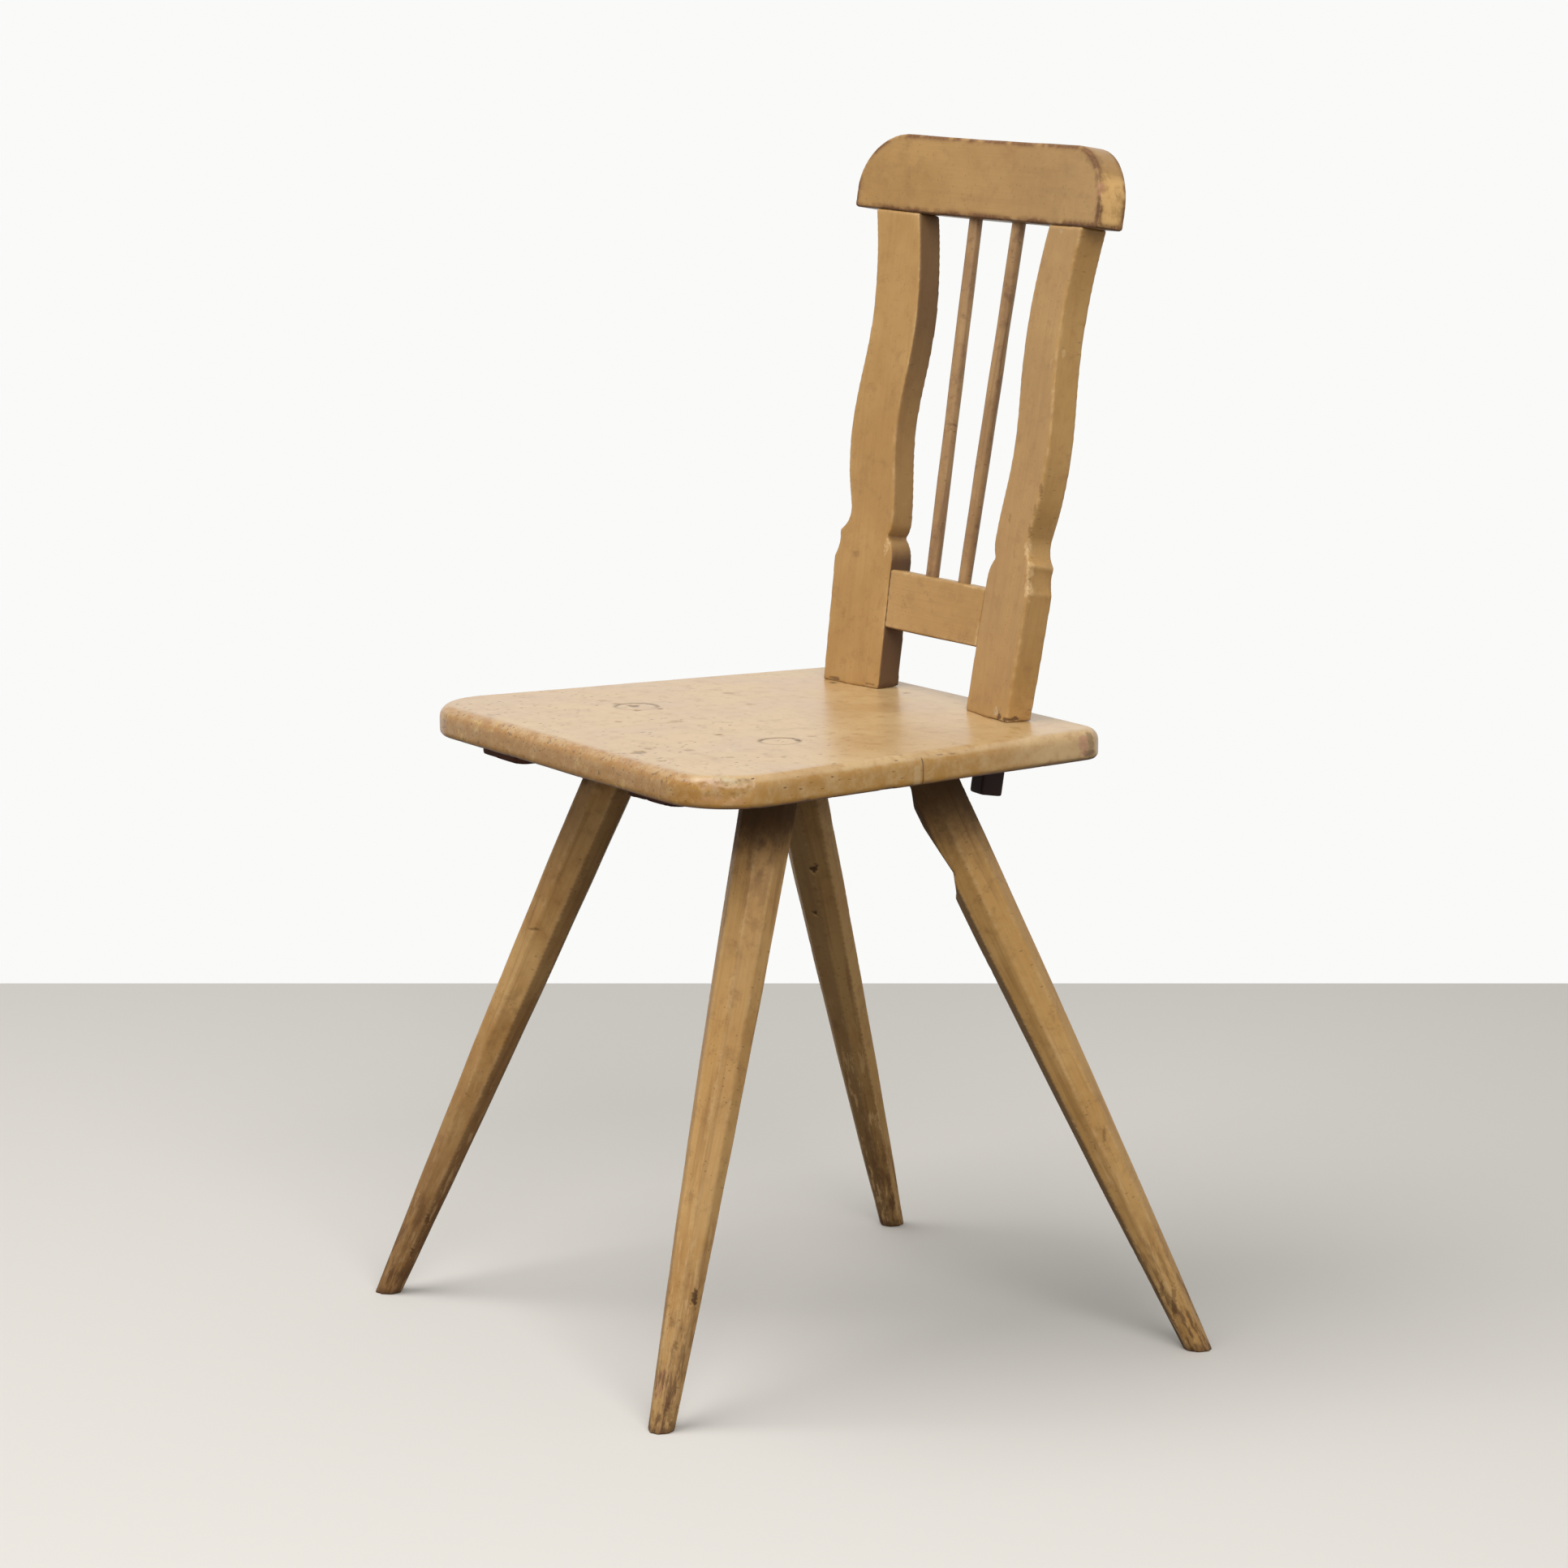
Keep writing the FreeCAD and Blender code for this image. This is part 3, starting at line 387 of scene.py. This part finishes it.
def put_wear(piece, name, wear, seed):
    """Ease a piece's arrises, wave its faces a little, and note where it is worn."""
    surface = Surface(piece.data)
    for _ in range(wear.easing):
        surface.points += 0.5 * (surface.around(surface.points) - surface.points)
    surface.write()
    normals = surface.normals()

    proud = surface.points - surface.around(surface.points)
    bulge = (proud * normals).sum(axis=1) / wear.voxel
    for _ in range(wear.blur):
        bulge = 0.5 * (bulge + surface.around(bulge))
    arris = np.clip(wear.gain * bulge / ARRIS_BULGE, 0, 1)
    crease = np.clip(-bulge / ARRIS_BULGE, 0, 1)

    patches = ripples(surface.points, PATCH_LENGTH, seed)
    patches += FINE_PATCH_SHARE * ripples(surface.points, FINE_PATCH_LENGTH, seed + 1)
    bites = np.clip(patches - BITE_LEVEL, 0, 1) * arris
    waves = ripples(surface.points, WAVE_LENGTH, seed + 2) * WAVE_HEIGHT
    surface.press(normals, bites * wear.bite - waves)
    stains = put_marks(surface, name, normals, wear.voxel, seed)
    if name == "seat":
        rings = tenon_rings(surface, wear.voxel)
        surface.press(normals, rings * RING_GROOVE)
        stains["mark"] = np.maximum(stains["mark"], rings)
    if name.startswith("leg"):
        surface.points[:, 2] = np.minimum(surface.points[:, 2], PAINTED_TOP)
    surface.write()

    surface.keep("crease", crease)
    arris *= np.clip(0.5 * wear.gain + 0.6 * patches, 0, 1)
    surface.keep("worn", np.maximum(arris, stains.pop("bare")))
    for kind, stain in stains.items():
        surface.keep(kind, stain)
    return surface


# Node trees

def srgb(red, green, blue):
    """A colour as a screen shows it, turned into the linear values that Blender wants."""
    linear = []
    for channel in (red, green, blue):
        share = channel / 255
        linear.append(share / 12.92 if share <= 0.04045 else ((share + 0.055) / 1.055) ** 2.4)
    return (*linear, 1.0)


class Nodes:
    """Builds a node tree; each step returns the socket that it ends in."""

    def __init__(self, tree):
        self.tree = tree

    def node(self, kind, **settings):
        new = self.tree.nodes.new(kind)
        for key, value in settings.items():
            setattr(new, key, value)
        return new

    def feed(self, socket, value):
        """Link a socket to another one, or set its value."""
        if isinstance(value, bpy.types.NodeSocket):
            self.tree.links.new(value, socket)
        else:
            socket.default_value = value

    def made(self, kind, inputs, output, **settings):
        """A node with its inputs fed; returns one of its outputs."""
        node = self.node(kind, **settings)
        for name, value in inputs.items():
            self.feed(node.inputs[name], value)
        return node.outputs[output]

    def ray(self, kind):
        """1 for light paths of a kind, such as camera rays, and 0 for others."""
        return self.node("ShaderNodeLightPath").outputs["Is %s Ray" % kind]

    def turned(self, vector, rotation=(0, 0, 0), scale=(1, 1, 1), shift=(0, 0, 0)):
        inputs = {"Vector": vector, "Rotation": rotation, "Scale": scale, "Location": shift}
        return self.made("ShaderNodeMapping", inputs, "Vector")

    def noise(self, vector, scale=1, detail=3, roughness=0.55, distortion=0.0):
        inputs = {
            "Vector": vector, "Scale": scale, "Detail": detail,
            "Roughness": roughness, "Distortion": distortion,
        }
        return self.made("ShaderNodeTexNoise", inputs, "Fac")

    def cells(self, vector):
        """Distance to the nearest of scattered points, about one per unit cube."""
        return self.made("ShaderNodeTexVoronoi", {"Vector": vector, "Scale": 1}, "Distance")

    def ramp(self, value, low, high, start=0.0, end=1.0):
        """Smooth change from start, where the value is low, to end, where it is high."""
        inputs = {
            "Value": value, "From Min": low, "From Max": high, "To Min": start, "To Max": end,
        }
        return self.made("ShaderNodeMapRange", inputs, "Result", interpolation_type="SMOOTHSTEP")

    def math(self, operation, first, second=0.0):
        return self.made("ShaderNodeMath", {0: first, 1: second}, "Value", operation=operation)

    def product(self, *values):
        return reduce(lambda first, second: self.math("MULTIPLY", first, second), values)

    def most(self, first, second):
        return self.math("MAXIMUM", first, second)

    def mix(self, factor, first, second):
        """From the first colour to the second as the factor goes from 0 to 1."""
        return self.made("ShaderNodeMix", {0: factor, 6: first, 7: second}, 2, data_type="RGBA")

    def stored(self, name):
        """A number that put_wear stored in the mesh, or 0 where there is none."""
        return self.node("ShaderNodeAttribute", attribute_name=name).outputs["Fac"]

    def axes(self, vector):
        """The X, Y and Z parts of a vector."""
        apart = self.node("ShaderNodeSeparateXYZ")
        self.feed(apart.inputs["Vector"], vector)
        return apart.outputs["X"], apart.outputs["Y"], apart.outputs["Z"]

    def bump(self, height, distance, after=None):
        inputs = {"Strength": 1.0, "Distance": distance, "Height": height}
        if after is not None:
            inputs["Normal"] = after
        return self.made("ShaderNodeBump", inputs, "Normal")


class Recipe(Nodes):
    """A new material's node tree."""

    def __init__(self, name):
        self.material = bpy.data.materials.new(name)
        self.material.use_nodes = True
        super().__init__(self.material.node_tree)
        self.shader = self.tree.nodes["Principled BSDF"].inputs


# Finishes

# Base, paler and darker tones, worn arrises and dark marks; how strong each layer is; and the
# surface's roughness, coat and gloss. The pale worn tone of legs and posts is partly painted
# highlight on their arrises, and creases darken with dirt and painted shade. The rest has usual
# values: how strong marks are, dirt on a foot, heights between which a leg's top gets dark with
# stain and painted shade, how unbroken a worn arris is, painted shade on faces that look down,
# and knocks near the seat's front.
Finish = namedtuple("Finish", (
    "base", "pale", "dark", "worn", "mark",
    "grain", "mottle", "worn_amount", "crease", "specks", "roughness", "coat", "gloss",
    "mark_amount", "foot_grime", "dark_top", "unbroken", "underside", "knocks",
), defaults=(0.8, 0.1, (378 * MM, 414 * MM), 0.35, 0.62, 0.0))

# The pale worn tone on the posts' and rail's arrises is partly painted highlight
BACK = Finish(
    base=srgb(171, 130, 72), pale=srgb(184, 144, 87), dark=srgb(144, 103, 56),
    worn=srgb(216, 182, 132), mark=srgb(76, 50, 32),
    grain=0.22, mottle=0.4, worn_amount=0.75, crease=0.5, specks=0.35,
    roughness=0.45, coat=0.05, gloss=0.4,
)
POST = BACK._replace(underside=0.25)
CREST = BACK._replace(
    base=srgb(164, 124, 68), pale=srgb(177, 138, 82), worn=srgb(98, 58, 30),
    worn_amount=0.85, unbroken=0.8,
)
SEAT = Finish(
    base=srgb(194, 157, 106), pale=srgb(206, 174, 124), dark=srgb(170, 130, 80),
    worn=srgb(146, 104, 62), mark=srgb(72, 50, 26),
    grain=0.16, mottle=0.7, worn_amount=0.55, crease=0.7, specks=1.0,
    roughness=0.4, coat=0.45, gloss=0.45, mark_amount=0.95, knocks=0.55,
)
WEDGE = SEAT._replace(mark_amount=0.8, knocks=0.0)
# The pale worn tone on the legs' arrises is partly painted highlight
LEG = Finish(
    base=srgb(190, 145, 87), pale=srgb(206, 164, 106), dark=srgb(130, 92, 55),
    worn=srgb(212, 174, 122), mark=srgb(58, 37, 24),
    grain=0.5, mottle=0.4, worn_amount=0.8, crease=0.8, specks=0.4,
    roughness=0.45, coat=0.0, gloss=0.18,
)
DIRTY_LEG = LEG._replace(
    base=srgb(177, 132, 76), foot_grime=0.45, dark_top=(396 * MM, 424 * MM),
)
REAR_LEG = LEG._replace(
    base=srgb(197, 152, 90), pale=srgb(210, 168, 108), dark=srgb(142, 102, 60),
    dark_top=(352 * MM, 416 * MM),
)
ROD = Finish(
    base=srgb(152, 117, 77), pale=srgb(174, 138, 93), dark=srgb(92, 62, 42),
    worn=srgb(150, 106, 72), mark=srgb(74, 46, 34),
    grain=0.9, mottle=0.6, worn_amount=0.3, crease=0.8, specks=0.4,
    roughness=0.42, coat=0.08, gloss=0.3,
)
SHADED = Finish(
    base=srgb(82, 50, 39), pale=srgb(102, 65, 48), dark=srgb(52, 32, 27),
    worn=srgb(108, 70, 52), mark=srgb(34, 23, 19),
    grain=0.6, mottle=0.5, worn_amount=0.4, crease=0.8, specks=0.3,
    roughness=0.7, coat=0.0, gloss=0.08,
)

FLAKED = srgb(190, 172, 136)
BARED = srgb(112, 84, 56)
RUBBED = srgb(176, 124, 96)
KNOCKED = srgb(140, 104, 70)
YELLOWED = srgb(170, 120, 36)
RUBBED_EDGE = srgb(163, 110, 28)
PALE_EDGE = srgb(210, 174, 94)
JOINT_STRIP = srgb(206, 180, 134)
FOOT_DIRT = srgb(88, 60, 40)
FOOT_BROWN = srgb(104, 70, 42)
GOLDEN = srgb(226, 180, 114)

# Where the seat's looks change: places along Y for knocks and yellowed sides, then the front
# edge, and heights and distances from the boards' joint
KNOCKED_ALONG = (60 * MM, -100 * MM)
YELLOWED_ALONG = (120 * MM, 20 * MM)
FRONT_EDGE = (SEAT_FRONT + 11.5 * MM, SEAT_FRONT + 5.5 * MM)
SIDE_FACE = (SEAT_TOP - 6 * MM, SEAT_TOP - 9 * MM)
STRIP_START = (-9 * MM, -7 * MM)
STRIP_END = (-1.5 * MM, -3 * MM)
CRACK_FADE = (0.8 * MM, 0.3 * MM)

# Heights on the legs and posts between which a look fades in
PALE_FOOT = (240 * MM, 50 * MM)
FLECKED_FOOT = (130 * MM, 10 * MM)
BROWN_FOOT = (270 * MM, 90 * MM)
FOOT_RIM = (24 * MM, 16 * MM)
SMEARED_HEIGHT = 30 * MM
UPPER_SHADOW = (600 * MM, 730 * MM)
LOWER_SHADOW = (560 * MM, 540 * MM)
UNDER_SEAT = (SEAT_TOP - 14 * MM, SEAT_TOP - 20 * MM)
TURNED_INWARDS = (-30 * MM, -60 * MM)


class Wood(Recipe):
    """Painted and varnished wood whose grain runs along a direction, built up in layers."""

    def __init__(self, name, finish, along, seed):
        super().__init__(name)
        self.finish = finish
        place = self.node("ShaderNodeTexCoord").outputs["Object"]
        self.x, self.y, self.z = self.axes(place)
        facing = self.node("ShaderNodeNewGeometry").outputs["Normal"]
        self.facing_x, _, self.facing_z = self.axes(facing)

        rotation = along.rotation_difference(Vector((1, 0, 0))).to_euler()
        shift = (seed * 0.37, seed * 0.61, seed * 0.83)
        self.lying = self.turned(place, rotation, shift=shift)
        self.clouds = self.noise(self.lying, 14, detail=4)
        self.smears = self.noise(self.lying, 75, detail=6, roughness=0.7, distortion=0.3)
        self.grain = self.noise(self.drawn_out(6, 150), detail=5, distortion=0.4)
        self.brush = self.noise(self.drawn_out(14, 900), detail=2)
        self.colour = self.mix(self.ramp(self.clouds, 0.35, 0.7), finish.base, finish.pale)
        self.worn = 0.0
        self.marks = 0.0

    def drawn_out(self, along, across):
        """Place in the wood, scaled so that what is drawn there is long and thin."""
        return self.turned(self.lying, scale=(along, across, across))

    def layer(self, tone, *amounts):
        """Lay a tone over the colour, as strongly as the product of the amounts."""
        self.colour = self.mix(self.product(*amounts), self.colour, tone)

    def dull(self, amount):
        """Note where the surface is dull and a little lower, as it is on a mark."""
        self.marks = self.most(self.marks, amount)


def lay_grain(wood):
    """Smears, grain, stains and brush strokes over the base colour."""
    finish = wood.finish
    wood.layer(finish.dark, wood.ramp(wood.smears, 0.5, 0.7, 0, finish.mottle))
    wood.layer(finish.pale, wood.ramp(wood.smears, 0.48, 0.3, 0, finish.mottle))
    wood.layer(finish.dark, wood.ramp(wood.grain, 0.5, 0.72), finish.grain)
    stains = wood.noise(wood.lying, 30, detail=5, roughness=0.65)
    wood.layer(finish.dark, wood.ramp(stains, 0.56, 0.75, 0, 0.45))
    wood.layer(finish.dark, wood.ramp(wood.brush, 0.35, 0.8, 0, 0.16))


def lay_wear(wood):
    """Worn arrises, partly painted highlight where pale, and creases with dirt and painted shade.
    """
    finish = wood.finish
    fine = wood.noise(wood.lying, 420, detail=2)
    broken = wood.ramp(fine, 0.35, 0.6, finish.unbroken, 1)
    wood.worn = wood.product(wood.stored("worn"), broken, finish.worn_amount)
    wood.layer(finish.worn, wood.worn)
    # Creases darken with dirt and painted shade
    dirt_and_shade = wood.ramp(wood.smears, 0.35, 0.6, 0.3, 1)
    wood.layer(finish.mark, wood.stored("crease"), dirt_and_shade, finish.crease)


def lay_marks(wood):
    """Specks, the seat's knocks, and the dark marks that the photo shows."""
    finish = wood.finish
    region = wood.ramp(wood.noise(wood.lying, 22), 0.43, 0.54)
    if finish.knocks:
        front = wood.ramp(wood.y, *KNOCKED_ALONG, 0.15, 1)
        region = wood.product(region, front)
        wobbly = wood.turned(wood.lying, (0, 0, 0.6), scale=(70, 95, 80))
        knocks = wood.ramp(wood.cells(wobbly), 0.26, 0.1)
        grouped = wood.ramp(wood.noise(wood.lying, 48, detail=2), 0.5, 0.66)
        wood.layer(KNOCKED, knocks, grouped, front, finish.knocks)
    scratched = wood.turned(wood.lying, (0, 0, 0.9), scale=(260, 90, 260))
    specks = wood.ramp(wood.cells(scratched), 0.185, 0.09)
    wood.marks = wood.most(wood.product(specks, region, finish.specks), wood.stored("mark"))
    wood.layer(finish.mark, wood.marks, finish.mark_amount)


def lay_chips(wood):
    """Chipped paint with pale flakes and bare spots, rubbed places, and shade underneath."""
    flaking = wood.noise(wood.lying, 260, detail=4, roughness=0.7)
    chipped = wood.stored("chip")
    wood.layer(FLAKED, chipped, wood.ramp(flaking, 0.44, 0.56, 0.1, 0.85))
    wood.layer(BARED, chipped, wood.ramp(flaking, 0.42, 0.36, 0, 0.85))
    wood.layer(RUBBED, wood.stored("rub"), wood.ramp(flaking, 0.35, 0.6, 0.4, 0.9))
    underside = wood.ramp(wood.facing_z, -0.05, -0.45, 0, wood.finish.underside)
    wood.layer(wood.finish.mark, underside)


def dirty_front_edge(wood):
    """Orange-brown rubbed patches and dark grains along the seat's front edge."""
    front = wood.ramp(wood.y, *FRONT_EDGE)
    patches = wood.noise(wood.lying, 120, detail=6, roughness=0.75)
    wood.layer(RUBBED_EDGE, front, wood.ramp(patches, 0.44, 0.6, 0.3, 0.85))
    pale = wood.noise(wood.lying, 95, detail=4, roughness=0.7)
    wood.layer(PALE_EDGE, front, wood.ramp(pale, 0.58, 0.68, 0, 0.5))
    grains = wood.noise(wood.lying, 320, detail=2, roughness=0.6)
    wood.layer(wood.finish.mark, front, wood.ramp(grains, 0.6, 0.68, 0, 0.6))


def show_joint(wood):
    """On the seat's side edges the boards' joint shows as a crack beside a paler strip."""
    away = wood.math("SUBTRACT", wood.y, SEAT_JOINT)
    sideways = wood.ramp(wood.facing_z, 0.75, 0.5)
    strip = wood.product(wood.ramp(away, *STRIP_START), wood.ramp(away, *STRIP_END))
    wood.layer(JOINT_STRIP, strip, wood.ramp(wood.z, *SIDE_FACE), sideways, 0.4)
    crack = wood.ramp(wood.math("ABSOLUTE", away), *CRACK_FADE)
    wood.layer(wood.finish.mark, crack, sideways, 0.8)


def dirty_seat(wood):
    """The seat's yellowed sides, front edge, joint and dark underside."""
    sides = wood.ramp(wood.facing_z, 0.7, 0.4)
    forward = wood.ramp(wood.y, *YELLOWED_ALONG, 0.1, 1)
    wood.layer(YELLOWED, sides, forward, wood.ramp(wood.smears, 0.35, 0.6, 0.4, 0.85))
    dirty_front_edge(wood)
    show_joint(wood)
    below = wood.ramp(wood.facing_z, -0.5, -0.8)
    wood.layer(SHADED.base, below, 0.85)
    wood.dull(below)


def stain_and_shade_leg(wood):
    """A leg's flecked and dirty foot, and its top darkened with stain and painted shade."""
    finish = wood.finish
    uneven = wood.math("ADD", wood.z, wood.product(wood.smears, SMEARED_HEIGHT))
    flecks = wood.noise(wood.drawn_out(45, 230), detail=4, roughness=0.65)
    pale = wood.product(wood.ramp(wood.z, *PALE_FOOT), wood.ramp(flecks, 0.45, 0.36, 0, 0.75))
    wood.layer(finish.worn, pale, wood.ramp(wood.marks, 0.3, 0.0))
    dark = wood.ramp(flecks, 0.48, 0.62, 0.1, 0.8)
    wood.layer(FOOT_DIRT, wood.ramp(wood.z, *FLECKED_FOOT), dark)
    wood.layer(FOOT_BROWN, wood.ramp(uneven, *BROWN_FOOT, 0, finish.foot_grime))
    wood.layer(FOOT_DIRT, wood.ramp(uneven, *FOOT_RIM, 0, 0.6))
    # The top darkens under the seat with stain and painted shade
    stained_and_shaded_top = wood.ramp(uneven, *finish.dark_top)
    wood.layer(finish.mark, stained_and_shaded_top, 0.85)
    wood.dull(stained_and_shaded_top)


def golden_ends(wood):
    """The crest rail's golden end faces, partly yellower paint and partly painted sheen, between
    dull dark arrises.
    """
    ends = wood.ramp(wood.math("ABSOLUTE", wood.facing_x), 0.75, 0.9)
    golden = wood.ramp(wood.smears, 0.62, 0.42, 0.3, 0.9)
    clean = wood.math("SUBTRACT", 1.0, wood.most(wood.worn, wood.marks))
    wood.layer(GOLDEN, ends, golden, clean)
    wood.dull(wood.worn)


def shade_post(wood):
    """Painted shade on a post's inner side, by height, and on what is below the seat."""
    inner = wood.ramp(wood.product(wood.facing_x, wood.x), *TURNED_INWARDS)
    upper = wood.ramp(wood.z, *UPPER_SHADOW, 0.15, 0.7)
    lower = wood.ramp(wood.z, *LOWER_SHADOW, 0, 0.88)
    shadow = wood.product(inner, wood.most(upper, lower))
    wood.layer(wood.finish.mark, shadow)
    wood.dull(shadow)
    # Painted shade on the part below the seat
    below = wood.ramp(wood.z, *UNDER_SEAT)
    wood.layer(SHADED.dark, below)
    wood.dull(below)


def varnish(wood):
    """Gloss and fine relief over the finished colour."""
    finish = wood.finish
    wood.feed(wood.shader["Base Color"], wood.colour)
    rough = wood.ramp(wood.clouds, 0.3, 0.7, finish.roughness - 0.05, finish.roughness + 0.06)
    rough = wood.math("ADD", rough, wood.product(wood.marks, 0.35))
    wood.feed(wood.shader["Roughness"], rough)
    wood.shader["Specular IOR Level"].default_value = finish.gloss
    wood.shader["Coat Weight"].default_value = finish.coat
    wood.shader["Coat Roughness"].default_value = 0.25

    relief = wood.bump(wood.grain, 0.10 * MM)
    relief = wood.bump(wood.brush, 0.05 * MM, relief)
    relief = wood.bump(wood.math("SUBTRACT", 1.0, wood.marks), 0.25 * MM, relief)
    wood.feed(wood.shader["Normal"], relief)


def finish_wood(name, finish, along, seed, special=None):
    """A piece's material; special adds what only that kind of piece has."""
    wood = Wood(name, finish, along, seed)
    lay_grain(wood)
    lay_wear(wood)
    lay_marks(wood)
    lay_chips(wood)
    if special:
        special(wood)
    varnish(wood)
    return wood.material


# Pieces

SEAT_WEAR = Wear(1.4 * MM, 2, 0.4 * MM)
BATTEN_WEAR = Wear(1.6 * MM, 2, 0.4 * MM)
LEG_WEAR = Wear(1.0 * MM, 3, 0.3 * MM)
POST_WEAR = Wear(0.95 * MM, 6, 0.0, gain=0.45)
RAIL_WEAR = Wear(1.0 * MM, 3, 0.05 * MM, gain=0.6)
CREST_WEAR = Wear(1.1 * MM, 3, 0.1 * MM, gain=1.7, blur=6)
ROD_WEAR = Wear(0.8 * MM, 1, 0.0)

# Node: finish, what only that kind of piece has, record slot, wear. The order seeds the wear.
PIECES = {
    "batten_left": (SHADED, None, "shaded_wood", BATTEN_WEAR),
    "batten_right": (SHADED, None, "shaded_wood", BATTEN_WEAR),
    "leg_front_left": (LEG, stain_and_shade_leg, "leg_wood", LEG_WEAR),
    "leg_front_right": (DIRTY_LEG, stain_and_shade_leg, "leg_wood", LEG_WEAR),
    "leg_rear_left": (REAR_LEG, stain_and_shade_leg, "leg_wood", LEG_WEAR),
    "leg_rear_right": (REAR_LEG, stain_and_shade_leg, "leg_wood", LEG_WEAR),
    "back_post_left": (POST, shade_post, "back_wood", POST_WEAR),
    "back_post_right": (POST, shade_post, "back_wood", POST_WEAR),
    "cross_rail": (BACK, None, "back_wood", RAIL_WEAR),
    "crest_rail": (CREST, golden_ends, "back_wood", CREST_WEAR),
    "spindle_left": (ROD, None, "spindle_wood", ROD_WEAR),
    "spindle_right": (ROD, None, "spindle_wood", ROD_WEAR),
}
SEEDS_PER_PIECE = 50
SEAT_SEED = SEED - 10

# Seeds that place the grain of these materials; those of the pieces above count from 1
SEAT_GRAIN = 21
WEDGE_GRAIN = 31
KEY_GRAIN = 32


def build_pieces():
    """Dress every large node but the seat boards; a post's mesh lies square to its face."""
    for number, (node, (finish, special, slot, wear)) in enumerate(PIECES.items()):
        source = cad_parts[node].data
        turn = squaring_turn(source) if special is shade_post else None
        piece = remeshed("worn_" + node, [source], wear.voxel, turn)
        surface = put_wear(piece, node, wear, SEED + SEEDS_PER_PIECE * number)
        along = surface.longest_way()
        material = finish_wood("finish_" + node, finish, along, number + 1, special)
        piece.data.materials.append(material)
        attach(piece, "root")
        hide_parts(node)


def build_seat():
    """Both boards are worn as one plank, over the tenons' ends, and then parted at their joint."""
    boards = ("seat_board_front", "seat_board_rear")
    sources = [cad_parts[board].data for board in boards]
    for node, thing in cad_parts.items():
        if node.startswith("leg_"):
            sources.append(cut_mesh(thing.data, (0, 0, PLUG_BOTTOM), (0, 0, -1)))
    plank = remeshed("plank", sources, SEAT_WEAR.voxel)
    surface = put_wear(plank, "seat", SEAT_WEAR, SEAT_SEED)
    material = finish_wood("finish_seat", SEAT, surface.longest_way(), SEAT_GRAIN, dirty_seat)
    for node, sign in zip(boards, (1, -1)):
        board = linked("worn_" + node, cut_mesh(plank.data, (0, SEAT_JOINT, 0), (0, sign, 0)))
        board.data.materials.append(material)
        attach(board, "root")
        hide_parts(node)
    bpy.data.objects.remove(plank)


def dress_small_nodes():
    """The keys keep their meshes; the wedges end under the seat's paint, as the tenons do."""
    wedge_wood = finish_wood("finish_wedges", WEDGE, Vector((0, 0, 1)), WEDGE_GRAIN)
    key_wood = finish_wood("finish_keys", SHADED, Vector((1, 0, 0)), KEY_GRAIN)
    for node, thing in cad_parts.items():
        if "key" in node:
            thing.data.materials.clear()
            thing.data.materials.append(key_wood)
        if "wedge" in node:
            short = cut_mesh(thing.data, (0, 0, PAINTED_TOP), (0, 0, 1))
            wedge = linked("painted_" + node, short)
            wedge.data.materials.append(wedge_wood)
            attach(wedge, "root")
            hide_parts(node)


# Stage and light

FLOOR_DEEP = 1.1
FLOOR_WIDE = 1.9
FLOOR_SEEN = srgb(225, 221, 214)
FLOOR_BOUNCE = srgb(150, 146, 140)
BACKGROUND = srgb(250, 250, 249)
SKY_STRENGTH = 0.32
LIGHT_TARGET = Vector((0, 0, 0.45))


def lay_floor():
    """A plain pale floor that ends where the photo's wall begins."""
    signs = ((-1, -1), (1, -1), (1, 1), (-1, 1))
    corners = [(x * FLOOR_WIDE, y * FLOOR_DEEP, 0) for x, y in signs]
    mesh = bpy.data.meshes.new("Floor")
    mesh.from_pydata(corners, [], [(0, 1, 2, 3)])
    floor = linked("Floor", mesh)
    floor.rotation_euler = (0, 0, CAMERA_HEADING)
    recipe = Recipe("floor_grey")
    colour = recipe.mix(recipe.ray("Camera"), FLOOR_BOUNCE, FLOOR_SEEN)
    recipe.feed(recipe.shader["Base Color"], colour)
    recipe.shader["Roughness"].default_value = 0.85
    mesh.materials.append(recipe.material)


def hang_lamp(name, place, width, watts):
    """A square area lamp that points at the chair."""
    data = bpy.data.lights.new(name, "AREA")
    data.size = width
    data.energy = watts
    lamp = linked(name, data)
    lamp.location = place
    lamp.rotation_euler = (LIGHT_TARGET - Vector(place)).to_track_quat("-Z", "Y").to_euler()


def light_stage():
    """Soft light from above the front and from the chair's left, before a white background."""
    hang_lamp("KeyLamp", place=(-0.35, -1.35, 2.9), width=2.2, watts=58)
    hang_lamp("SideLamp", place=(2.4, -0.9, 2.0), width=1.6, watts=44)
    world = bpy.data.worlds.new("World")
    bpy.context.scene.world = world
    world.use_nodes = True
    sky = Nodes(world.node_tree)
    background = sky.tree.nodes["Background"].inputs
    background["Color"].default_value = BACKGROUND
    seen = sky.most(sky.ray("Camera"), sky.ray("Glossy"))
    sky.feed(background["Strength"], sky.ramp(seen, 0, 1, SKY_STRENGTH, 1.0))


aim_camera()
build_seat()
build_pieces()
dress_small_nodes()
lay_floor()
light_stage()
bpy.context.scene.view_settings.view_transform = "Standard"
